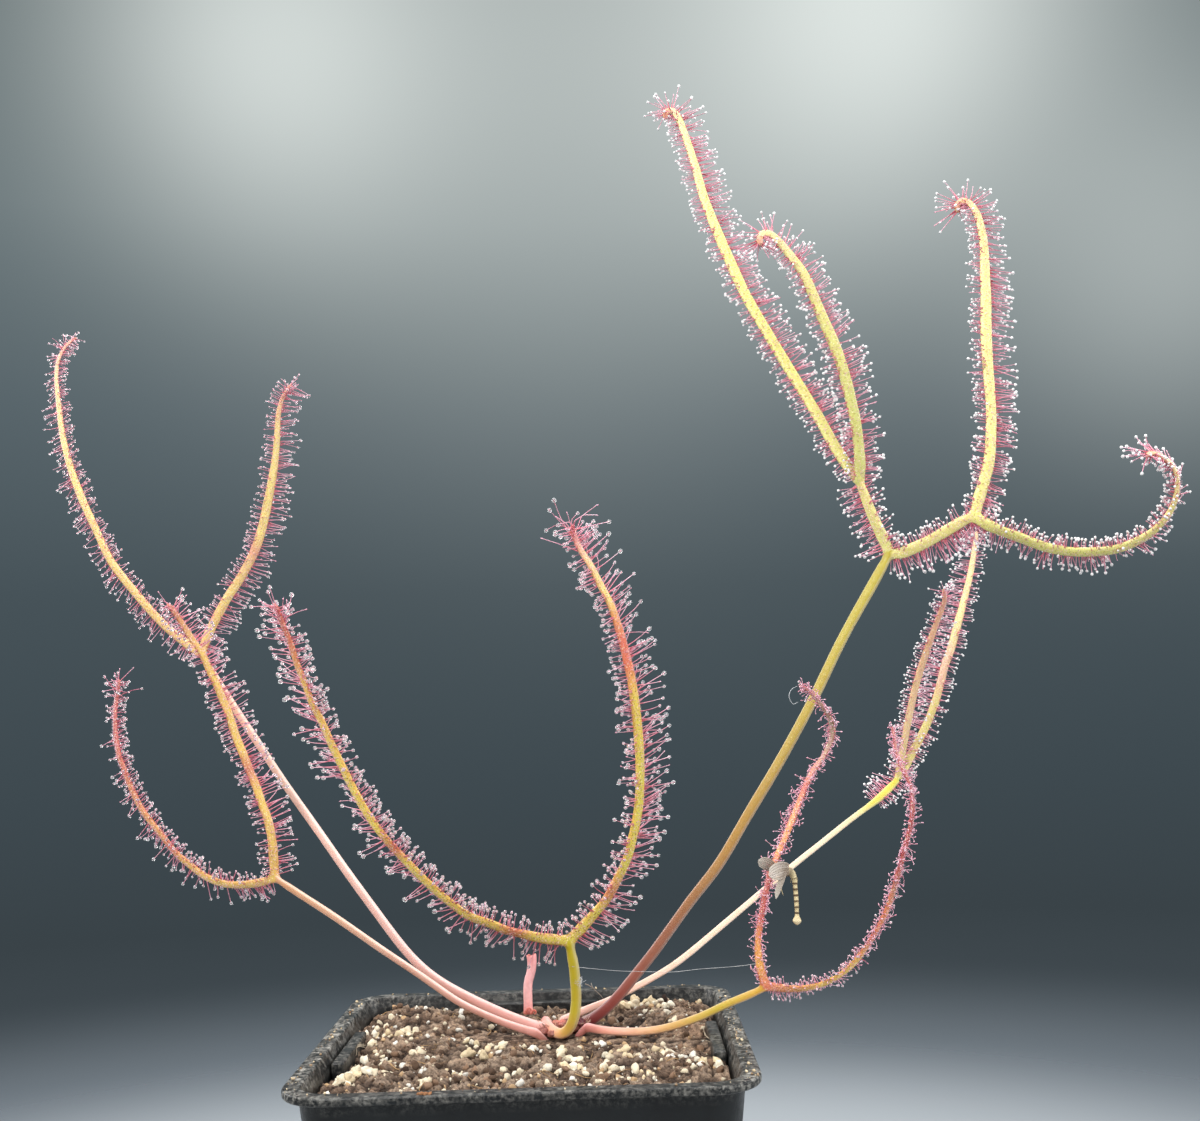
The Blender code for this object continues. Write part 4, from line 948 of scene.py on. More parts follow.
# clusters of pale grains: where they are seen, their spread in view pixels, how many, smallest and largest radius in mm, tone
GRAINS = [
    (354, 1081, 20, 9, 26, 0.9, 2.1, "cream"), (340, 1090, 12, 4, 9, 0.8, 1.6, "cream"), (382, 1062, 14, 6, 14, 0.6, 1.3, "cream"), (376, 1044, 14, 4, 10, 0.6, 1.3, "cream"),
    (410, 1040, 12, 4, 9, 0.9, 1.7, "cream"), (421, 1060, 16, 5, 11, 0.6, 1.5, "cream"), (426, 1084, 8, 4, 7, 0.6, 1.4, "cream"),
    (418, 1018, 12, 4, 5, 0.5, 1.1, "white"), (372, 1027, 8, 4, 3, 0.8, 1.3, "white"), (442, 1007, 10, 3, 4, 0.5, 1.0, "white"), (466, 1025, 8, 4, 4, 0.6, 1.2, "white"),
    (376, 1010, 14, 5, 12, 0.6, 1.2, "tan"), (392, 1018, 9, 4, 5, 0.5, 1.0, "tan"),
    (474, 1049, 12, 4, 6, 0.6, 1.3, "cream"), (494, 1055, 16, 5, 13, 0.6, 1.6, "cream"), (526, 1054, 12, 3, 7, 0.5, 1.2, "white"),
    (566, 1056, 15, 4, 12, 0.7, 1.9, "cream"), (571, 1071, 15, 4, 10, 0.6, 1.5, "cream"), (600, 1043, 8, 3, 5, 0.5, 1.1, "white"),
    (620, 1058, 12, 4, 8, 0.6, 1.5, "cream"), (614, 1074, 14, 4, 8, 0.5, 1.4, "cream"), (646, 1040, 12, 4, 5, 0.6, 1.2, "cream"),
    (668, 1052, 12, 4, 7, 0.6, 1.5, "cream"), (684, 1042, 8, 4, 6, 0.6, 1.4, "cream"), (681, 1062, 12, 4, 7, 0.6, 1.4, "white"), (698, 1067, 12, 4, 7, 0.6, 1.3, "cream"),
    (722, 1072, 14, 4, 9, 0.7, 1.6, "cream"), (646, 1012, 24, 6, 24, 0.8, 1.9, "cream"), (664, 1019, 16, 4, 10, 0.7, 1.5, "cream"), (706, 996, 14, 4, 9, 0.6, 1.3, "tan"),
    (512, 1004, 12, 4, 9, 0.7, 1.5, "tan"), (541, 1008, 10, 4, 6, 0.7, 1.4, "tan"), (592, 997, 8, 3, 4, 0.8, 1.3, "tan"), (552, 1031, 10, 4, 5, 0.4, 0.9, "white"),
    (452, 1075, 16, 5, 8, 0.5, 1.1, "cream"), (530, 1078, 20, 4, 8, 0.4, 1.0, "cream"), (650, 1078, 22, 4, 9, 0.4, 1.1, "cream"), (705, 1020, 12, 8, 8, 0.5, 1.1, "cream"),
]
GRAIN_TONES = {"cream": ((240, 226, 200), (228, 208, 174), (246, 238, 220)), "white": ((244, 240, 232), (236, 230, 216)), "tan": ((206, 172, 134), (190, 154, 118), (224, 196, 162))}


def seated(x, y, r, sink=0.35):
    z, _ = soil_top(x, y)
    return np.stack([x, y, POT_H + z + r * (1 - 2 * sink) * 0.6], 1)


def keep_clear(x, y, r, half=38.6):
    """Which grains stay off the stalks' lines, the lugs and the wall."""
    ok = (np.abs(x) < half) & (np.abs(y) < half)
    for (ax, ay), (bx, by) in STALK_BEDS:
        t = np.clip(((x - ax) * (bx - ax) + (y - ay) * (by - ay)) / ((bx - ax) ** 2 + (by - ay) ** 2), 0, 1)
        ok &= np.hypot(x - ax - t * (bx - ax), y - ay - t * (by - ay)) > 1.9 + r
    for a, b in ((x, y), (y, x)):
        ok &= ~((np.abs(a) < LUG_L / 2 + 0.5) & (np.abs(b) > 37.2 - r))
    return ok


def build_grit():
    rng = np.random.default_rng(41)
    xs, ys, rs, tones = [], [], [], []
    for u, v, du, dv, count, small, large, kind in GRAINS:
        for _ in range(count):
            p = at_level(u + rng.normal() * du * 0.55, v + rng.normal() * dv * 0.55, POT_H + SOIL_LEVEL)
            xs.append(p.x)
            ys.append(p.y)
            rs.append((small + (large - small) * rng.random() ** 1.6) * 0.9)
            tones.append(srgb(*GRAIN_TONES[kind][rng.integers(len(GRAIN_TONES[kind]))]) * rng.uniform(0.70, 0.92))
    # loose grains all over
    for _ in range(620):
        x, y = rng.uniform(-39, 39, 2)
        xs.append(x)
        ys.append(y)
        rs.append(0.2 + 0.75 * rng.random() ** 2.4)
        kind = ("cream", "white", "tan")[rng.choice(3, p=(0.5, 0.25, 0.25))]
        tones.append(srgb(*GRAIN_TONES[kind][0]) * rng.uniform(0.62, 0.88))
    x, y, r, tones = np.array(xs), np.array(ys), np.array(rs), np.array(tones)
    ok = keep_clear(x, y, r)
    x, y, r, tones = x[ok], y[ok], r[ok], tones[ok]
    at = seated(x, y, r, 0.3)
    parts = []
    for level, fit in ((3, r > 1.25), (2, (r > 0.42) & (r <= 1.25)), (1, r <= 0.42)):
        parts += lumps(rng, at[fit], r[fit], tones[fit], level, rough=0.24)
    v, f, _, t = joined(parts)
    place("perlite_grains", mesh_of("perlite_grains", v, f, tones=t), grit_material("perlite_stone"), "perlite")

    # peat crumbs on the surface, and a few on the lip
    n = 900
    x, y = rng.uniform(-39.2, 39.2, n), rng.uniform(-39.2, 39.2, n)
    r = 0.25 + 0.8 * rng.random(n) ** 3
    ok = keep_clear(x, y, r * 0.4, 39.4)
    x, y, r = x[ok], y[ok], r[ok]
    at = seated(x, y, r, 0.3)
    shade = rng.random(len(x))[:, None]
    tones = srgb(44, 31, 25) * (1 - shade) + srgb(140, 112, 92) * shade
    parts = lumps(rng, at[r > 0.7], r[r > 0.7], tones[r > 0.7], 2, rough=0.24) + lumps(rng, at[r <= 0.7], r[r <= 0.7], tones[r <= 0.7], 1, rough=0.24)
    m = 170
    side = rng.integers(0, 4, m)
    along = rng.uniform(-40, 40, m)
    across = rng.uniform(42.0, 44.2, m)
    favoured = rng.random(m) < 0.45          # most of it lies on the right and left of the lip
    side = np.where(favoured, np.where(rng.random(m) < 0.65, 1, 3), side)
    lx = np.choose(side, (along, across, along, -across))
    ly = np.choose(side, (-across, along, across, along))
    r = 0.1 + 0.32 * rng.random(m) ** 3
    shade = rng.random(m)[:, None]
    tones = srgb(120, 92, 70) * (1 - shade) + srgb(226, 208, 176) * shade
    parts += lumps(rng, np.stack([lx, ly, POT_H + r * 0.35], 1), r, tones, 1)
    # the clump of crumbs hanging on the front lip, left of the middle
    clump = [(422, 1094, 0.9), (426, 1096, 1.0), (430, 1094, 0.8), (419, 1092, 0.6), (427, 1092, 0.7)]
    cx = np.array([at_depth(u, v, -43.3).x for u, v, _ in clump])
    cr = np.array([k for _, _, k in clump]) * 0.6
    parts += lumps(rng, np.stack([cx, np.full(len(cx), -44.2), np.full(len(cx), POT_H + 0.1)], 1), cr, np.array([srgb(150, 106, 76) * rng.uniform(0.7, 1.2) for _ in clump]), 2)
    v, f, _, t = joined(parts)
    place("peat_crumbs", mesh_of("peat_crumbs", v, f, tones=t), grit_material("peat_crumb", 0.95, 0.1), "peat")

    # fibres and twigs
    parts = []

    def strand(points, radius, tone, sides=5, step=0.8):
        path = smooth_path([Vector(p) for p in points], step, 2)
        f = np.linspace(0, 1, len(path))
        w = 2 * radius * (1 - 0.6 * f)
        v, faces, uvs, _ = tube(path, w, w, sides)
        parts.append((v, faces, uvs, np.tile(tone, (len(v), 1))))

    for _ in range(150):
        x, y = rng.uniform(-36, 36, 2)
        if not keep_clear(np.array([x]), np.array([y]), np.array([0.3]))[0]:
            continue
        ang, length = rng.uniform(0, 6.28), rng.uniform(2.0, 7.0)
        pts = []
        for k in range(4):
            t = k / 3 - 0.5
            px, py = x + math.cos(ang + t * 0.8) * length * t, y + math.sin(ang + t * 0.8) * length * t
            h, _ = soil_top(np.array([px]), np.array([py]))
            pts.append((px, py, POT_H + h[0] + 0.12 + rng.uniform(0, 0.35)))
        shade = rng.random()
        strand(pts, rng.uniform(0.05, 0.14), srgb(72, 52, 40) * (1 - shade) + srgb(186, 152, 112) * shade)
    # dry pale fibres against the right wall and at the left lug
    for u, v, side in [(717, 1016, 1), (719, 1021, 1), (720, 1027, 1), (721, 1032, 1), (722, 1038, 1), (723, 1044, 1), (718, 1013, 1), (316, 1050, -1), (322, 1053, -1), (327, 1051, -1), (312, 1053, -1)]:
        p = at_level(u, v, POT_H - 2.5)
        x = max(-39.4, min(39.4, p.x))
        pts = [(x + rng.uniform(-1.2, 1.2) - side * 1.0 * k, p.y + rng.uniform(-1.5, 1.5) + 0.8 * k, POT_H - 4.6 + 1.3 * k * (1 if k < 3 else 0.7)) for k in range(4)]
        strand(pts, 0.11, srgb(206, 190, 168) * rng.uniform(0.7, 1.0))
    # the thin grey twig behind the front stalk
    strand([tuple(at_depth(585, 984, 33)), tuple(at_depth(590, 986, 33)), tuple(at_depth(597, 992, 33)), tuple(at_depth(602, 997, 33)), tuple(at_depth(606, 1004, 33))], 0.16, srgb(128, 118, 110))
    strand([tuple(at_depth(591, 983, 33)), tuple(at_depth(593, 988, 33)), tuple(at_depth(597, 992, 33))], 0.1, srgb(150, 142, 134))
    v, f, _, t = joined([(a, b, None, d) for a, b, c, d in parts])
    place("peat_fibres", mesh_of("peat_fibres", v, f, tones=t), grit_material("dry_fibre", 0.8, 0.04), "peat")


# ---- leaves
SIDES = 14
STEP = 0.8


def leaf_branches(spec):
    """Path, frame, width and thickness of the stalk and of each arm, as arrays."""
    w0, w1 = spec["stalk_w"]
    path = centreline(*spec["stalk"], STEP, 70 if len(spec["stalk"][0]) > 12 else 10)
    # the foot of the stalk runs on, out of sight, down to the rootstock
    foot = path[0]
    to = np.array((7.0, 18.9)) - foot[:2]
    low = np.array((*(foot[:2] + to * min(1.0, 3.8 / np.linalg.norm(to))), foot[2] - 3.0))
    knee = foot + (foot - path[1]) / STEP * 0.9
    extra = [low * (1 - t) ** 2 + 2 * knee * t * (1 - t) + foot * t * t for t in (0, 0.17, 0.33, 0.5, 0.67, 0.84)]
    f = np.concatenate([np.zeros(len(extra)), np.linspace(0, 1, len(path))])
    run = f * len(path) * STEP
    path = np.concatenate([extra, path])
    T, N, S = frames_of(path)
    width = w0 + (w1 - w0) * f
    wave = 1 + 0.035 * noise(path, 9.0, 3) + 0.02 * noise(path, 3.0, 4) + 0.10 * np.exp(-run / 1.2)
    b = math.radians(24) * np.clip(f * 6, 0, 1)[:, None]
    N, S = N * np.cos(b) - S * np.sin(b), S * np.cos(b) + N * np.sin(b)
    size = spec["slim"][0] + (1 - spec["slim"][0]) * 0.6 * np.exp(-run / 5.0)
    size[:len(extra)] *= np.linspace(0.6, 1.0, len(extra))
    if "sleeve" in spec:      # the stalk widens into the blade before it forks
        size = size + (0.92 - size) * np.clip((f - 1 + spec["sleeve"]) / (0.4 * spec["sleeve"]), 0, 1)
    flat = 0.62 + 0.22 * np.exp(-run / 6.0)
    out = [dict(path=path, T=T, N=N, S=S, w=size * width * wave, h=flat * size * width * wave, f=f, tones=spec["stalk_tone"], arm=False, side=0)]
    for k, (stations, depths) in enumerate(spec["arms"]):
        path = centreline(stations, depths, STEP)
        n = len(path)
        f = np.linspace(0, 1, n)
        inner = len(stations) < 8
        full, tip = spec["arm_w"], spec["arm_w"] if inner else spec["tip_w"]
        width = full + (tip - full) * np.clip((f - 0.55) / 0.45, 0, 1) ** 1.4
        wave = 1 + 0.05 * noise(path, 8.0, 5 + k) + 0.035 * noise(path, 2.6, 15 + k)
        left = (1 - f) * n * STEP
        close = np.ones(n) if inner else np.sqrt(np.clip(1 - (1 - np.clip(left / 1.4, 0, 1)) ** 2, 0.03, 1))
        if spec.get("withered"):
            wave = wave * (1 + (0.15 * noise(path, 3.2, 25 + k) + 0.16 * noise(path, 1.5, 35 + k)) * np.clip(f * 3, 0, 1))
            if k == 0:        # shrivelled lumps below its tip
                wave = wave * (1 + 0.30 * np.exp(-((f - 0.83) / 0.08) ** 2))
        T, N, S = frames_of(path)
        side = spec["side"][k]
        b = (math.radians(spec["lean"][k]) * side * np.clip(f / (0.3 if inner else 0.1), 0, 1))[:, None]
        N2, S2 = N * np.cos(b) - S * np.sin(b), S * np.cos(b) + N * np.sin(b)
        width = width * (spec["slim"][1] + (1 - spec["slim"][1]) * np.exp(-f * n * STEP / 6.0))
        thick = 0.44 * width * (1 + 0.25 * np.clip((f - 0.8) / 0.2, 0, 1))
        out.append(dict(path=path, T=T, N=N2, S=S2, w=width * wave * close, h=thick * wave * close, f=f, tones=spec["arm_tones"][k], arm=True, side=side, inner=inner, index=k))
    return out


def toned(keys, f):
    xs = [k[0] for k in keys]
    cs = np.array([srgb(*k[1]) for k in keys])
    return np.stack([np.interp(f, xs, cs[:, c]) for c in range(3)], 1)


def build_leaf(name, spec):
    branches = leaf_branches(spec)
    meshes = []
    count = len(branches)
    for k, b in enumerate(branches):
        v, faces, uvs, _ = tube(b["path"], b["w"], b["h"], SIDES, (k / count, (k + 1) / count), (b["T"], b["N"], b["S"]), back=0.45 if b["arm"] else 0.15, square=0.8 if b["arm"] else 0.66)
        meshes.append(mesh_of(f"{name}_{k}", v, faces, uvs))
    obj = bpy.data.objects.new("leaf_work", meshes[0])
    bpy.context.scene.collection.objects.link(obj)
    me = combined(obj, [(m, "UNION") for m in meshes[1:]])

    # soften the forks
    co = np.empty(len(me.vertices) * 3, np.float32)
    me.vertices.foreach_get("co", co)
    co = co.reshape(-1, 3).astype(float) / MM
    edges = np.empty(len(me.edges) * 2, np.int32)
    me.edges.foreach_get("vertices", edges)
    edges = edges.reshape(-1, 2)
    soft = np.zeros(len(co))
    for b in branches[1:]:
        soft = np.maximum(soft, np.clip((4.2 - np.linalg.norm(co - b["path"][0], axis=1)) / 2.0, 0, 1))
    degree = np.bincount(edges.ravel(), minlength=len(co)).astype(float)
    for _ in range(7):
        total = np.zeros_like(co)
        np.add.at(total, edges[:, 0], co[edges[:, 1]])
        np.add.at(total, edges[:, 1], co[edges[:, 0]])
        co += (total / np.maximum(degree, 1)[:, None] - co) * (0.5 * soft)[:, None]
    me.vertices.foreach_set("co", (co * MM).astype(np.float32).ravel())

    # colours, from the nearest branch
    P = np.concatenate([b["path"] for b in branches])
    owner = np.concatenate([np.full(len(b["path"]), k) for k, b in enumerate(branches)])
    F = np.concatenate([b["f"] for b in branches])
    NN, SS = np.concatenate([b["N"] for b in branches]), np.concatenate([b["S"] for b in branches])
    tree = kdtree.KDTree(len(P))
    for i, p in enumerate(P):
        tree.insert(p, i)
    tree.balance()
    near = np.array([tree.find(c)[1] for c in co])
    off = unit(co - P[near])
    face, across = (off * NN[near]).sum(1), (off * SS[near]).sum(1)
    tone = np.zeros((len(co), 4))
    red = srgb(168, 52, 62)
    for k, b in enumerate(branches):
        at = owner[near] == k
        base = toned(b["tones"], F[near][at])
        fa, ac = face[at][:, None], np.abs(across[at])[:, None]
        if b["arm"]:
            base = base * (1 - spec["pale"]) + srgb(250, 242, 196) * spec["pale"]
            under = np.clip(-fa * 1.6, 0, 1)
            base = base * (1 - 0.65 * under) + red * 0.65 * under                 # the gland-covered face is red
            rim = np.clip((ac - 0.72) / 0.28, 0, 1) * np.clip(fa + 0.7, 0, 1)
            base = base * (1 - 0.35 * rim) + srgb(*spec["edge"]) * 0.35 * rim
            patch = np.clip(noise(co[at], 5.5, 61 + k) * 1.6 - 0.55, 0, 1)[:, None] * spec["patch"]
            base = base * (1 - patch) + srgb(216, 112, 60) * patch
        else:
            rim = np.clip((ac - 0.55) / 0.4, 0, 1) ** 2
            base = base * (1 - 0.5 * rim) + (base * 0.5 + 0.45) * 0.5 * rim       # pale edges
            # painted shade: the downward-facing side of the stalk is darkened and warmed
            low = np.clip(-off[at][:, 2:3] * 0.9, 0, 1)
            base = base * (1 - 0.35 * low * np.array([0.2, 0.5, 0.7]))
        tone[at, :3] = base
        tone[at, 3] = float(b["arm"])
    paint(me, tone)
    me.shade_smooth()
    place(name + "_blade", me, leaf_material(name + "_tissue", spec["dash"]), name, name)
    return branches


# ---- tentacles and dew
LEVELS = 7


def strands(root, way, bend, length, turn, radius, gland, v):
    """Tapering stalks that end in a gland, curved by turn radians towards bend; all are arrays."""
    n = len(root)
    way = unit(way)
    bend = unit(bend - way * (bend * way).sum(1, keepdims=True))
    third = np.cross(way, bend)
    head = np.minimum(0.55, 0.34 * length) / length
    g = 1 - head
    us = np.stack([0 * g, 0.30 * g, 0.64 * g, g, g + 0.22 * head, g + 0.68 * head, np.ones(n)], 1)
    turn = np.where(np.abs(turn) < 1e-3, 1e-3, turn)[:, None]
    ang = turn * us
    centre = root[:, None] + (way[:, None] * (np.sin(ang) / turn)[:, :, None] + bend[:, None] * ((1 - np.cos(ang)) / turn)[:, :, None]) * length[:, None, None]
    normal = -way[:, None] * np.sin(ang)[:, :, None] + bend[:, None] * np.cos(ang)[:, :, None]
    rr = np.stack([1.6 * radius, 1.0 * radius, 0.8 * radius, 0.7 * radius, gland, gland * 0.92, gland * 0.25], 1)
    a = 2 * np.pi * np.arange(3) / 3
    ring = centre[:, :, None] + rr[:, :, None, None] * (normal[:, :, None] * np.cos(a)[None, None, :, None] + third[:, None, None] * np.sin(a)[None, None, :, None])
    verts = ring.reshape(-1, 3)
    base = (np.arange(n) * LEVELS * 3)[:, None, None]
    i, k = np.meshgrid(np.arange(LEVELS - 1), np.arange(3), indexing="ij")
    i, k = i[None], k[None]
    k2 = (k + 1) % 3
    quads = np.stack([base + i * 3 + k, base + i * 3 + k2, base + (i + 1) * 3 + k2, base + (i + 1) * 3 + k], -1).reshape(-1, 4)
    uu = np.array([0.01, 0.27, 0.55, 0.80, 0.86, 0.93, 0.985])
    v = (0.01 + 0.96 * v)[:, None, None]
    one = np.ones((n, LEVELS - 1, 3))
    u0, u1 = uu[i] * one, uu[i + 1] * one
    v0, v1 = v + 0.006 * k * one, v + 0.006 * (k + 1) * one
    uv = np.stack([np.stack([u0, v0], -1), np.stack([u0, v1], -1), np.stack([u1, v1], -1), np.stack([u1, v0], -1)], 3).reshape(-1, 4, 2)
    cap = (np.arange(n) * LEVELS * 3)[:, None] + (LEVELS - 1) * 3 + np.arange(3)[None]
    cap_uv = np.stack([np.stack([np.full(n, x), v[:, 0, 0] + y], -1) for x, y in ((0.99, 0.0), (0.995, 0.0), (0.992, 0.01))], 1)
    tangent = way * np.cos(turn) + bend * np.sin(turn)
    return (verts, [quads, cap], [uv, cap_uv], None), centre[:, -2], tangent


def fine_hairs(branches, rng, per_mm=9.0):
    """Short pale hairs on the smooth face of the arms, each a slim three-sided cone."""
    parts = []
    for b in branches:
        if not b["arm"]:
            continue
        n = len(b["path"])
        count = int(n * STEP * per_mm)
        x = rng.uniform(0.5, n - 1.6, count)
        i0 = x.astype(int)
        t = (x - i0)[:, None]
        pick = lambda a: a[i0] * (1 - t) + a[i0 + 1] * t
        P, T, N, S = pick(b["path"]), unit(pick(b["T"])), unit(pick(b["N"])), unit(pick(b["S"]))
        W, H = pick(b["w"][:, None])[:, 0], pick(b["h"][:, None])[:, 0]
        ang = np.radians(rng.uniform(-88, 88, count))
        ds, dn = np.sin(ang), np.cos(ang)
        reach = 1 / np.sqrt((ds / np.maximum(W / 2, 0.1)) ** 2 + (dn / np.maximum(H / 2, 0.1)) ** 2)
        root = P + (S * ds[:, None] + N * dn[:, None]) * (reach * 0.9)[:, None]
        way = unit(S * ds[:, None] + N * dn[:, None] + T * rng.normal(0.35, 0.35, (count, 1)) + rng.normal(0, 0.25, (count, 3)))
        side = unit(np.cross(way, T + 0.3 * N))
        third = np.cross(way, side)
        tip = root + way * rng.uniform(0.45, 0.95, (count, 1))
        a = 2 * np.pi * np.arange(3) / 3
        ring = root[:, None] + 0.055 * (side[:, None] * np.cos(a)[None, :, None] + third[:, None] * np.sin(a)[None, :, None])
        v = np.concatenate([ring, tip[:, None]], 1).reshape(-1, 3)
        base = (np.arange(count) * 4)[:, None, None]
        tri = (base + np.array([(0, 1, 3), (1, 2, 3), (2, 0, 3)])[None]).reshape(-1, 3)
        low, high = rng.uniform(0.30, 0.45, count), rng.uniform(0.55, 0.75, count)
        row = rng.uniform(0.02, 0.10, count)
        uv = np.stack([np.stack([low, row], -1), np.stack([low, row + 0.01], -1), np.stack([high, row + 0.005], -1)], 1)
        parts.append((v, [tri], [np.repeat(uv, 3, axis=0)], None))
    return parts


def tentacles_on(branch, spec, rng):
    """Where the tentacles of one arm stand: arrays of root, way, bend, length, turn, redness and drop radius."""
    path, T, N, S, w, h, f = (branch[k] for k in ("path", "T", "N", "S", "w", "h", "f"))
    n = len(path)
    length = n * STEP
    side = branch["side"]
    withered = spec.get("withered", False)
    count = int(length * spec["per_mm"])
    at = (np.arange(count) + rng.uniform(-0.6, 0.6, count)) / count
    at = np.clip(0.012 + 0.985 * at, 0.004, 0.998)
    x = at * (n - 1)
    i0 = np.minimum(x.astype(int), n - 2)
    t = (x - i0)[:, None]
    pick = lambda a: a[i0] * (1 - t) + a[i0 + 1] * t
    P, TT, NN, SS = pick(path), unit(pick(T)), unit(pick(N)), unit(pick(S))
    W, H = pick(w[:, None])[:, 0], pick(h[:, None])[:, 0]
    # the gland-covered face looks back and to its side; angles are measured from it towards the outer margin
    lean = 0.28 * side
    axis = unit(-NN * math.cos(lean) + SS * math.sin(lean))
    margin = unit(-SS * side * math.cos(lean) - NN * math.sin(abs(lean)))
    kind = rng.random(count)
    outer, inner = kind < 0.42, (kind >= 0.42) & (kind < 0.64)
    phi = np.where(outer, np.radians(rng.normal(90, 16, count)), np.where(inner, np.radians(rng.normal(-84, 15, count)), np.radians(rng.uniform(-66, 66, count))))
    way = axis * np.cos(phi)[:, None] + margin * np.sin(phi)[:, None]
    ds, dn = (way * SS).sum(1), (way * NN).sum(1)
    reach = 1 / np.sqrt((ds / np.maximum(W / 2, 0.1)) ** 2 + (dn / np.maximum(H / 2, 0.1)) ** 2)
    root = P + (SS * ds[:, None] + NN * dn[:, None]) * (reach * 0.86)[:, None]
    edge = np.abs(np.sin(phi)) ** 2
    reach_out = np.where(rng.random(count) < 0.46, rng.uniform(0.80, 1.08, count), rng.uniform(0.30, 0.78, count))
    size = spec["short"] * rng.uniform(0.75, 1.15, count) + (spec["long"] - spec["short"]) * edge * np.where(outer, reach_out, 0.38 * rng.random(count))
    size = size * (0.72 + 0.28 * np.clip(at * 8, 0, 1))
    way = way + TT * rng.normal(0.04, 0.15, count)[:, None]
    turn = np.abs(rng.normal(0.12, 0.16, count))
    bend = 0.4 * TT + axis * 0.5 + rng.normal(0, 0.5, (count, 3))
    red = np.clip(rng.normal(spec["blush"], 0.18, count) + 0.25 * (1 - edge), 0, 1)
    drop = spec["drop"] * rng.uniform(0.72, 1.10, count) * (0.80 + 0.20 * np.clip((size - spec["short"]) / (spec["long"] - spec["short"]), 0, 1))
    drop = np.where(rng.random(count) < 0.09, 0.0, drop)
    if withered:
        turn = rng.uniform(0.6, 3.4, count)
        size = size * rng.uniform(0.5, 1.1, count)
        fresh = (at < 0.34) & (branch["index"] == 1)        # the second arm still has its drops near the fork
        turn = np.where(fresh, 0.3 * turn, turn)
        drop = np.where(rng.random(count) < np.where(fresh, 0.62, 0.12), drop, 0.0)
        red = np.clip(rng.normal(spec["blush"], 0.25, count), 0, 1)
        bend = rng.normal(0, 1, (count, 3))
    sets = [(root, way, bend, size, turn, red, drop)]
    if not branch["inner"]:
        # the tip carries a tuft that fans out forwards
        wisp = spec["wispy"][branch["index"]]
        m = 10 if withered else int(13 - 3 * wisp)
        back = rng.uniform(0.0, 0.06, m) * (n - 1)
        j = np.clip((n - 1 - back).astype(int), 0, n - 1)
        around = rng.uniform(0, 2 * np.pi, m)
        ring = SS[-1] * np.cos(around)[:, None] + NN[-1] * np.sin(around)[:, None]
        open_ = rng.uniform(0.15, 1.35, m)[:, None]
        way = T[j] * np.cos(open_) + ring * np.sin(open_)
        size = spec["long"] * rng.uniform(0.45, 0.85, m) * (1 + 0.9 * wisp * rng.random(m) ** 2)
        drop = np.where(rng.random(m) < 0.2 + 0.5 * wisp, 0.0, spec["drop"] * rng.uniform(0.7, 1.0, m))
        turn = np.abs(rng.normal(0.25 + 0.7 * wisp, 0.25 + 0.6 * wisp, m))
        red = np.clip(rng.normal(spec["blush"] + 0.12, 0.2, m), 0, 1)
        if withered:
            size *= 0.7
        sets.append((path[j] + way * 0.25, way, rng.normal(0, 1, (m, 3)), size, turn, red, drop))
    return [np.concatenate(x) for x in zip(*sets)]


def build_tentacles(name, spec, branches, flesh, dew, seed):
    rng = np.random.default_rng(seed)
    sets = [tentacles_on(b, spec, rng) for b in branches if b["arm"]]
    if "sleeve" in spec:
        stalk = branches[0]
        on = stalk["f"] > 1 - 0.8 * spec["sleeve"]
        top = {k: stalk[k][on] for k in ("path", "T", "N", "S", "w", "h", "f")}
        sets.append(tentacles_on(dict(top, side=1, inner=True, index=0), spec, rng))
    root, way, bend, size, turn, red, drop = [np.concatenate(x) for x in zip(*sets)]
    radius = spec["stem"] * np.clip(0.085 + 0.008 * size, 0.08, 0.15) * rng.uniform(0.85, 1.15, len(size))
    gland = rng.uniform(0.13, 0.17, len(size))
    if spec.get("withered"):
        # some have shrunk to knobs
        knob = (rng.random(len(size)) < 0.16) & (drop == 0)
        size = np.where(knob, size * 0.35, size)
        gland = np.where(knob, rng.uniform(0.22, 0.42, len(size)), gland)
    part, tips, tangent = strands(root, way, bend, size, turn, radius, gland, red)
    v, f, uv, _ = joined([part] + fine_hairs(branches, rng))
    short = name.replace("leaf_", "")
    place("tentacles_" + short, mesh_of("tentacles_" + short, v, f, uv), flesh, "tentacle")
    wet = drop > 0
    v0, f0 = BALLS[2] if spec["bead"] else BEAD
    r, c, t = drop[wet], tips[wet], tangent[wet]
    c = c - t * (0.18 * r)[:, None]
    p = v0[None] * r[:, None, None] + t[:, None] * (np.einsum("ij,nj->ni", v0, t) * 0.12 * r[:, None])[:, :, None] + c[:, None]
    f = (f0[None] + (np.arange(len(r)) * len(v0))[:, None, None]).reshape(-1, 3)
    place("dew_" + short, mesh_of("dew_" + short, p.reshape(-1, 3), [f]), dew, "dew")
    return len(size), int(wet.sum())


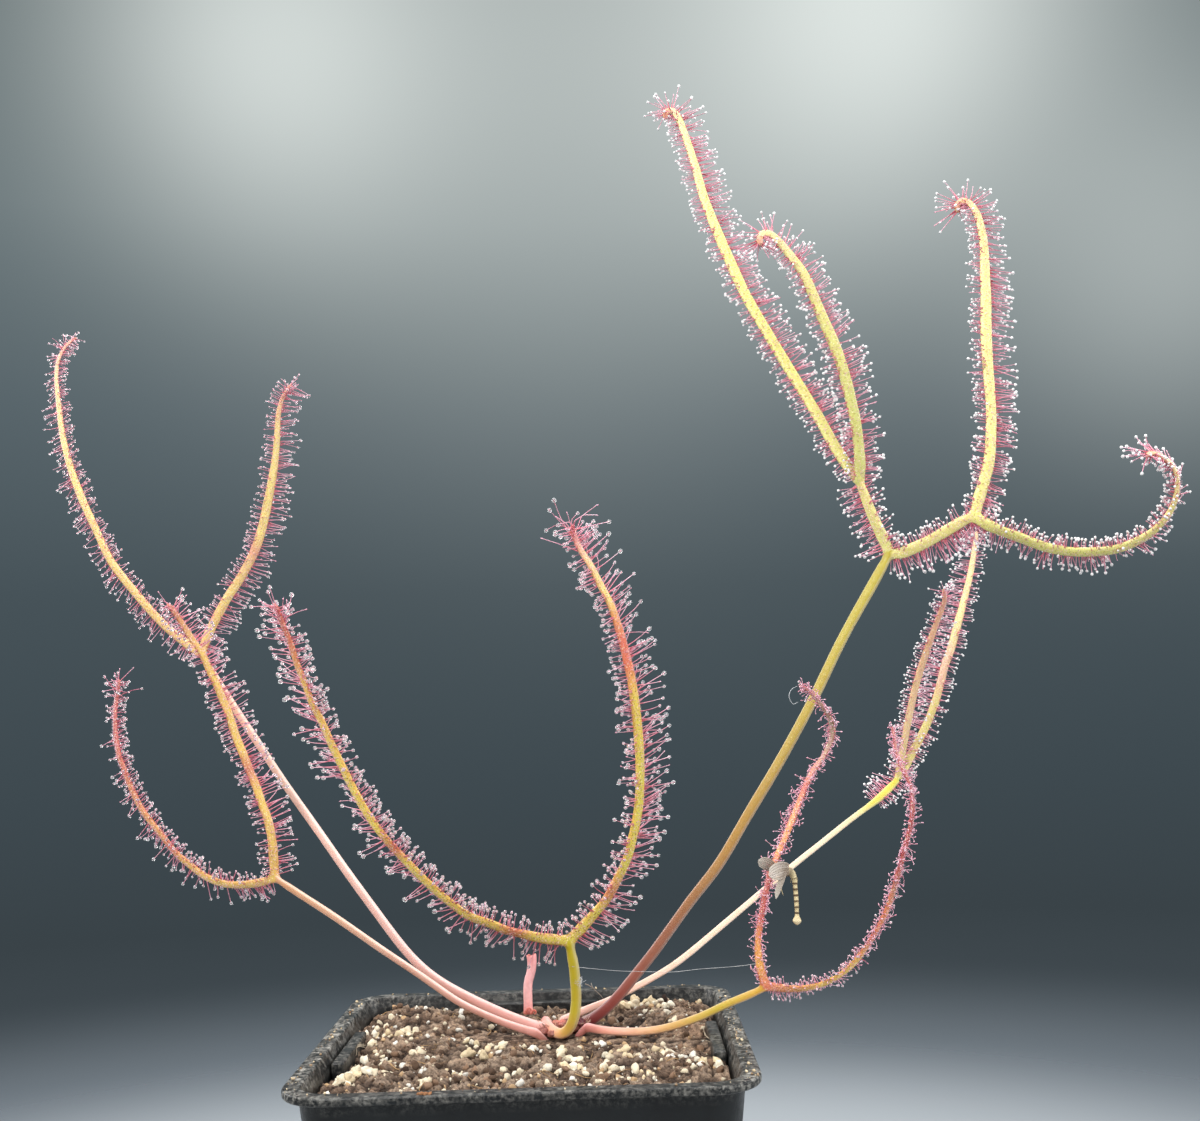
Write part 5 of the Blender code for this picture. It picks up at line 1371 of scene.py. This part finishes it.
# ---- the crown, the stub and the caught fly
def build_crown():
    rng = np.random.default_rng(7)
    parts = []

    def blob(centre, radii, tone, seed, rough=0.12):
        v0, f0 = BALLS[4]
        k = 1 + rough * noise(v0 * 2.2, 1.0, seed) + rough * 0.6 * noise(v0 * 2.2, 0.45, seed + 1)
        v = v0 * k[:, None] * np.array(radii) + np.array(centre)
        shade = np.clip(0.5 + 0.5 * noise(v, 0.8, seed + 2), 0, 1)[:, None]
        parts.append((v, [f0], None, np.array(tone) * (0.65 + 0.6 * shade)))

    z = POT_H - 3.0
    blob((7.7, 18.9, z), (2.9, 2.4, 1.5), srgb(120, 64, 52), 50)
    blob((9.9, 18.0, z + 0.7), (1.2, 1.1, 1.0), srgb(84, 22, 30), 51, 0.2)
    blob((9.0, 19.8, z + 0.9), (1.0, 1.0, 0.9), srgb(106, 36, 40), 52, 0.2)
    blob((6.0, 18.2, z + 0.6), (1.2, 1.0, 0.9), srgb(190, 110, 96), 53, 0.2)
    blob((4.4, 19.6, z + 0.3), (1.3, 1.0, 0.9), srgb(186, 116, 98), 54, 0.2)
    # the short rootstock lies half buried and takes in the feet of the left stalks
    blob((3.0, 18.4, z - 0.5), (3.2, 2.0, 1.3), srgb(122, 66, 54), 55, 0.18)
    blob((1.2, 17.2, z - 0.2), (1.6, 1.2, 0.9), srgb(170, 104, 92), 56, 0.22)
    blob((1.4, 15.8, z - 0.4), (1.5, 1.1, 0.8), srgb(146, 84, 74), 57, 0.22)
    blob((12.0, 18.6, z - 0.4), (1.6, 1.6, 0.9), srgb(96, 44, 40), 58, 0.22)
    blob((4.6, 14.9, z - 0.7), (2.1, 1.4, 1.1), srgb(158, 98, 86), 59, 0.22)
    blob((6.2, 15.6, z - 0.9), (1.7, 1.2, 0.9), srgb(118, 66, 54), 60, 0.22)
    # two young leaves still rolled up at the growing point
    for (cx, cy), height, turn, tone in (((10.1, 17.6), 1.7, 0.3, srgb(92, 20, 34)), ((10.8, 18.7), 1.3, -0.5, srgb(132, 36, 44))):
        pts = []
        for k in range(13):
            a = k / 12
            spiral = 0.55 * (1 - 0.75 * a)
            ang = 2 * math.pi * 1.1 * a
            pts.append(Vector((cx + spiral * math.cos(ang) * math.cos(turn) - spiral * math.cos(0) * math.cos(turn), cy + spiral * math.cos(ang) * math.sin(turn),
                               z + height * min(1, a * 2.2) + spiral * math.sin(ang))))
        path = smooth_path(pts, 0.18, 3)
        w = np.linspace(0.75, 0.4, len(path))
        v, f, _, _ = tube(path, w, w * 0.8, 8)
        parts.append((v, f, None, np.tile(tone, (len(v), 1))))
    # papery scales and hairs round the leaf bases
    for _ in range(84):
        a = rng.uniform(0, 2 * math.pi)
        base = np.array((5.6 + 5.2 * math.cos(a), 18.4 + 2.2 * math.sin(a), z + rng.uniform(-0.6, 0.8)))
        out = np.array((math.cos(a), math.sin(a), rng.uniform(0.3, 1.2)))
        pts = [Vector(base), Vector(base + out * 0.7 + rng.normal(0, 0.15, 3)), Vector(base + out * rng.uniform(1.0, 1.7) + rng.normal(0, 0.3, 3))]
        path = smooth_path(pts, 0.4, 1)
        w = np.linspace(0.24, 0.05, len(path))
        v, f, _, _ = tube(path, w, w * 0.5, 5)
        shade = rng.random()
        parts.append((v, f, None, np.tile(srgb(110, 60, 50) * (1 - shade) + srgb(214, 186, 164) * shade, (len(v), 1))))
    v, f, _, t = joined(parts)
    m, nt, b = principled("crown_skin", Roughness=0.45, Subsurface_Weight=0.1, Subsurface_Scale=0.001)
    tone = add(nt, "ShaderNodeVertexColor", layer_name="tone").outputs["Color"]
    nt.links.new(mix(nt, 0.8, tone, ramp(nt, grain(nt, 0.5), [(0.35, (0.55, 0.5, 0.5)), (0.65, (1.2, 1.15, 1.1))]), "MULTIPLY"), b.inputs["Base Color"])
    bump(nt, b, grain(nt, 0.3), 0.12)
    place("crown_bud", mesh_of("crown_bud", v, f, tones=t), m, "crown_tissue", "crown")


def build_stub():
    path = centreline(*STUB, 0.5)
    f = np.linspace(0, 1, len(path))
    w = 2.1 + 0.25 * np.clip(f - 0.8, 0, 1) / 0.2 + 0.3 * np.exp(-(f / 0.08) ** 2)
    h = 1.9 + 0.2 * np.exp(-(f / 0.08) ** 2)
    T, N, S = frames_of(path)
    # the wall turns in at the cut and runs down the hollow
    rng = np.random.default_rng(3)
    top, axis = path[-1], T[-1]
    extra = [(0.10, 0.93), (0.12, 0.78), (0.0, 0.66), (-0.5, 0.58), (-1.1, 0.5), (-1.6, 0.4), (-1.8, 0.15)]
    P = np.concatenate([path, [top + axis * d for d, _ in extra]])
    W = np.concatenate([w, [w[-1] * k for _, k in extra]])
    Hh = np.concatenate([h, [h[-1] * k for _, k in extra]])
    pad = lambda a: np.concatenate([a, np.repeat(a[-1:], len(extra), 0)])
    v, faces, uvs, _ = tube(P, W, Hh, 20, frame=(pad(T), pad(N), pad(S)))
    rag = np.zeros(len(v))
    ring_of = np.repeat(np.arange(len(P)), 20)
    angle = np.tile(2 * np.pi * (np.arange(20) + 0.5) / 20, len(P))
    k = np.clip((ring_of - (len(path) - 5)) / 5.0, 0, 1) * (ring_of <= len(path) + 1)
    v = v + axis * (k * (0.22 * np.sin(2 * angle + 0.6) + 0.12 * np.sin(5 * angle)))[:, None]
    frac = ring_of / len(path)
    # keys past 1 run down the hollow of the cut and darken with depth: painted shade inside the hollow
    tone = toned([(0, (216, 120, 104)), (0.08, (232, 156, 150)), (0.3, (240, 186, 184)), (0.7, (238, 180, 182)), (0.95, (232, 160, 160)), (1.0, (206, 120, 112)), (1.12, (150, 70, 62)), (1.4, (90, 36, 32))], frac)
    streak = noise(v * np.array([1, 1, 0.18]), 0.55, 8)[:, None]
    tone = tone * (1 + 0.10 * streak)
    # the dried curl at its foot
    parts = [(v, faces, None, tone)]
    for u0, v0_, y in ((527, 1010, 26.6), (532, 1012, 26.4)):
        pts = [at_depth(u0 + a, v0_ + b, y) for a, b in ((-1.5, 2.0), (0.5, -1.0), (3.0, -1.6), (4.0, 0.8), (2.2, 2.2))]
        p = smooth_path(pts, 0.25, 2)
        ww = np.linspace(0.7, 0.3, len(p))
        vv, ff, _, _ = tube(p, ww, ww * 0.7, 8)
        parts.append((vv, ff, None, np.tile(srgb(196, 110, 96), (len(vv), 1))))
    v, f, _, t = joined(parts)
    m, nt, b = principled("stub_skin", Roughness=0.42, Subsurface_Weight=0.2, Subsurface_Scale=0.0014, Subsurface_Radius=(1.0, 0.5, 0.4))
    tn = add(nt, "ShaderNodeVertexColor", layer_name="tone").outputs["Color"]
    nt.links.new(mix(nt, 0.6, tn, ramp(nt, grain(nt, 0.9, 4.0), [(0.35, (0.86, 0.76, 0.74)), (0.6, (1.02, 1.02, 1.02))]), "MULTIPLY"), b.inputs["Base Color"])
    bump(nt, b, grain(nt, 0.4, 3.0, 0.5, (1.0, 1.0, 0.2)), 0.06)
    place("stub_stalk", mesh_of("stub_stalk", v, f, tones=t), m, "petiole_stub", "petiole_stub")


def build_fly():
    rng = np.random.default_rng(19)
    path = centreline(*FLY_BODY, 0.16)
    n = len(path)
    f = np.linspace(0, 1, n)

    def girth(f):
        return 1.0 + 1.0 * np.exp(-((f - 0.24) / 0.12) ** 2) + 0.2 * np.exp(-((f - 0.03) / 0.06) ** 2) + 0.85 * np.exp(-((f - 0.945) / 0.045) ** 2) - 0.12 * np.exp(-((f - 0.84) / 0.06) ** 2)
    ends = np.sqrt(np.clip(1 - (1 - np.clip(np.minimum(f, 1 - f) * n * 0.16 / 0.85, 0, 1)) ** 2, 0.04, 1))
    segment = 1 + 0.07 * np.cos(2 * np.pi * (f - 0.38) * 13) * ((f > 0.38) & (f < 0.9))
    w = girth(f) * ends * segment
    v, faces, _, _ = tube(path, w, 0.92 * w, 16)
    fr = np.repeat(f, 16)
    band = np.clip(np.cos(2 * np.pi * (fr - 0.38) * 13) * 1.6 + 0.4 * noise(v, 0.5, 3), 0, 1) * (fr > 0.38) * (fr < 0.9)
    tone = srgb(206, 190, 150) * (1 - band[:, None]) + srgb(84, 66, 46) * band[:, None]
    chest = np.clip((0.37 - fr) * 12, 0, 1)[:, None]
    mottle = np.clip(0.5 + 0.7 * noise(v, 0.7, 4), 0, 1)[:, None]
    tone = tone * (1 - chest) + (srgb(78, 64, 50) * (1 - mottle) + srgb(186, 170, 138) * mottle) * chest
    tone = np.where((fr < 0.09)[:, None], srgb(60, 44, 36), tone)
    tone = np.where((fr > 0.915)[:, None], srgb(222, 206, 168) * (0.8 + 0.25 * mottle), tone)
    parts = [(v, faces, None, tone)]
    # six thin legs, most of them stuck to the tentacles
    hub = path[int(0.22 * n)]
    legs = [((-6, -3), (-10, -7), (-14, -3)), ((-3, 4), (-6, 9), (-8, 15)), ((4, -4), (9, 3), (9, 17)), ((5, 0), (11, 5), (11, 14)),
            ((3, -4), (7, 1), (5, 10)), ((-2, 6), (-4, 13), (-2, 21))]
    for k, leg in enumerate(legs):
        pts = [Vector(hub)]
        for j, (du, dv) in enumerate(leg):
            pts.append(Vector(hub) + RIGHT * (du / 4.3) - UP * (dv / 4.3) + AHEAD * (0.5 * math.sin(1.7 * k + j)))
        p = smooth_path(pts, 0.3, 2)
        ww = np.interp(np.linspace(0, 1, len(p)), (0, 0.3, 1), (0.38, 0.26, 0.13))
        vv, ff, _, _ = tube(p, ww, ww, 6)
        parts.append((vv, ff, None, np.tile(srgb(196, 182, 146) * rng.uniform(0.65, 1.15), (len(vv), 1))))
    # head with eyes
    head = path[2]
    for s in (-1, 1):
        v0, f0 = BALLS[2]
        parts.append((v0 * 0.26 + head + np.array([0.18 * s, -0.2, 0.12]), [f0], None, np.tile(srgb(40, 26, 24), (len(v0), 1))))
    v, f2, _, t = joined(parts)
    place("fly_shape", mesh_of("fly_shape", v, f2, tones=t), grit_material("fly_skin", 0.6, 0.05), "fly_body", "fly_body")

    m, nt, b = principled("fly_film", Roughness=0.28, Specular_IOR_Level=0.6, Alpha=0.72)
    uv = add(nt, "ShaderNodeUVMap", uv_map=UV).outputs["UV"]
    sep = add(nt, "ShaderNodeSeparateXYZ", {0: uv})
    wave = add(nt, "ShaderNodeTexWave", {"Vector": add(nt, "ShaderNodeMapping", {"Vector": uv, "Scale": (0.5, 2.2, 1.0)}).outputs[0], "Scale": 1.0, "Distortion": 1.2, "Detail": 1.0}, bands_direction="Y").outputs["Fac"]
    veins = ramp(nt, wave, [(0.0, 0.9), (0.16, 0.0), (1.0, 0.0)])
    col = mix(nt, veins, ramp(nt, sep.outputs[0], [(0.0, srgb(140, 122, 104)), (0.6, srgb(188, 174, 160)), (1.0, srgb(208, 198, 186))]), tuple(srgb(86, 68, 54)))
    nt.links.new(col, b.inputs["Base Color"])
    films = [("fly_wing_upper", FLY_WINGS["fly_wing_upper"][0], FLY_WINGS["fly_wing_upper"][1], 2.7, True),
             ("fly_wing_lower", FLY_WINGS["fly_wing_lower"][0], FLY_WINGS["fly_wing_lower"][1], 1.3, True),
             ("fly_wing_spread", [(789, 869), (781, 870), (769, 876)], [(0, -0.8), (1, -2.6)], 3.6, False)]
    for name, stations, depths, width, own in films:
        p = centreline(stations, depths, 0.2)
        f = np.linspace(0, 1, len(p))
        wide = width * (0.25 + 0.75 * np.sin(np.pi * np.minimum(1, 0.12 + 0.8 * f)) ** 0.7) * np.sqrt(np.clip((1 - f) * 6, 0.02, 1))
        T, N, S = frames_of(p)
        cols = 11
        q = np.linspace(-1, 1, cols)
        v = p[:, None] + S[:, None] * (q[None, :, None] * wide[:, None, None] / 2) + N[:, None] * (0.10 * (1 - q[None, :, None] ** 2) + 0.03 * np.sin(9 * q)[None, :, None])
        top = v.reshape(-1, 3)
        low = (v - N[:, None] * 0.05).reshape(-1, 3)
        i, k = np.meshgrid(np.arange(len(p) - 1), np.arange(cols - 1), indexing="ij")
        a = np.stack([i * cols + k, i * cols + k + 1, (i + 1) * cols + k + 1, (i + 1) * cols + k], -1).reshape(-1, 4)
        u0, u1 = f[i] * 0.98 + 0.01, f[i + 1] * 0.98 + 0.01
        v0, v1 = 0.01 + 0.98 * k / (cols - 1), 0.01 + 0.98 * (k + 1) / (cols - 1)
        auv = np.stack([np.stack([u0, v0], -1), np.stack([u0, v1], -1), np.stack([u1, v1], -1), np.stack([u1, v0], -1)], 2).reshape(-1, 4, 2)
        m2 = mesh_of(name, np.concatenate([top, low]), [a[:, ::-1], a + len(top)], [auv[:, ::-1], auv])
        place(name + "_film", m2, m, "fly_wing", *([name] if own else []))


def build_silk():
    rng = np.random.default_rng(23)
    parts = []

    def thread(points, radius, sag=0.0, step=1.0):
        path = smooth_path(points, step, 2)
        f = np.linspace(0, 1, len(path))
        path[:, 2] -= sag * 4 * f * (1 - f)
        w = np.full(len(path), 2 * radius)
        v, faces, _, _ = tube(path, w, w, 4)
        parts.append((v, faces, None, None))

    # a single thread of silk from the front leaf's fork to the old leaf, held up where it meets the tall stalk
    thread([at_depth(572, 966.5, 6.3), at_depth(596, 969, 8.5), at_depth(620, 971, 12), at_depth(641, 971.5, 15.6)], 0.05)
    thread([at_depth(641, 971.5, 15.6), at_depth(672, 972, 13), at_depth(700, 969, 10.4), at_depth(735, 966.5, 6.8), at_depth(760.5, 963, 4.2)], 0.05)
    # a grey wisp on the front stalk
    c = at_depth(580, 982, 7.4)
    for _ in range(26):
        d = Vector(rng.normal(0, 1, 3)).normalized()
        e = Vector(rng.normal(0, 1, 3)).normalized()
        thread([c + d * 0.2, c + d * rng.uniform(0.5, 1.0) + e * 0.3, c + d * 0.5 + e * rng.uniform(0.8, 1.5)], 0.03, 0, 0.3)
    # a loop of loose hair at the withered tip
    thread([at_depth(797, 686, 7.6), at_depth(791, 690, 7.0), at_depth(789, 697, 6.5), at_depth(793, 704, 6.6), at_depth(798, 702, 7.0)], 0.05, 0, 0.4)
    v, f, _, _ = joined(parts)
    m, nt, b = principled("silk_strand", Roughness=0.35, Specular_IOR_Level=0.6)
    nt.links.new(ramp(nt, grain(nt, 3.0), [(0.3, srgb(170, 172, 176)), (0.7, srgb(226, 226, 228))]), b.inputs["Base Color"])
    place("silk_thread", mesh_of("silk_thread", v, f), m, "silk")


bpy.context.scene.view_settings.view_transform = "Standard"
build_view()
build_world()
build_floor()
build_pot()
build_soil()
build_grit()
build_crown()
build_stub()
flesh, clear_dew, milky_dew = tentacle_material(), dew_material("dew_clear", 0.88), dew_material("dew_milky", 0.25)
for k, (name, spec) in enumerate(LEAVES.items()):
    grown = build_leaf(name, spec)
    build_tentacles(name, spec, grown, flesh, milky_dew if spec.get("milky") else clear_dew, 100 + k)
build_fly()
build_silk()
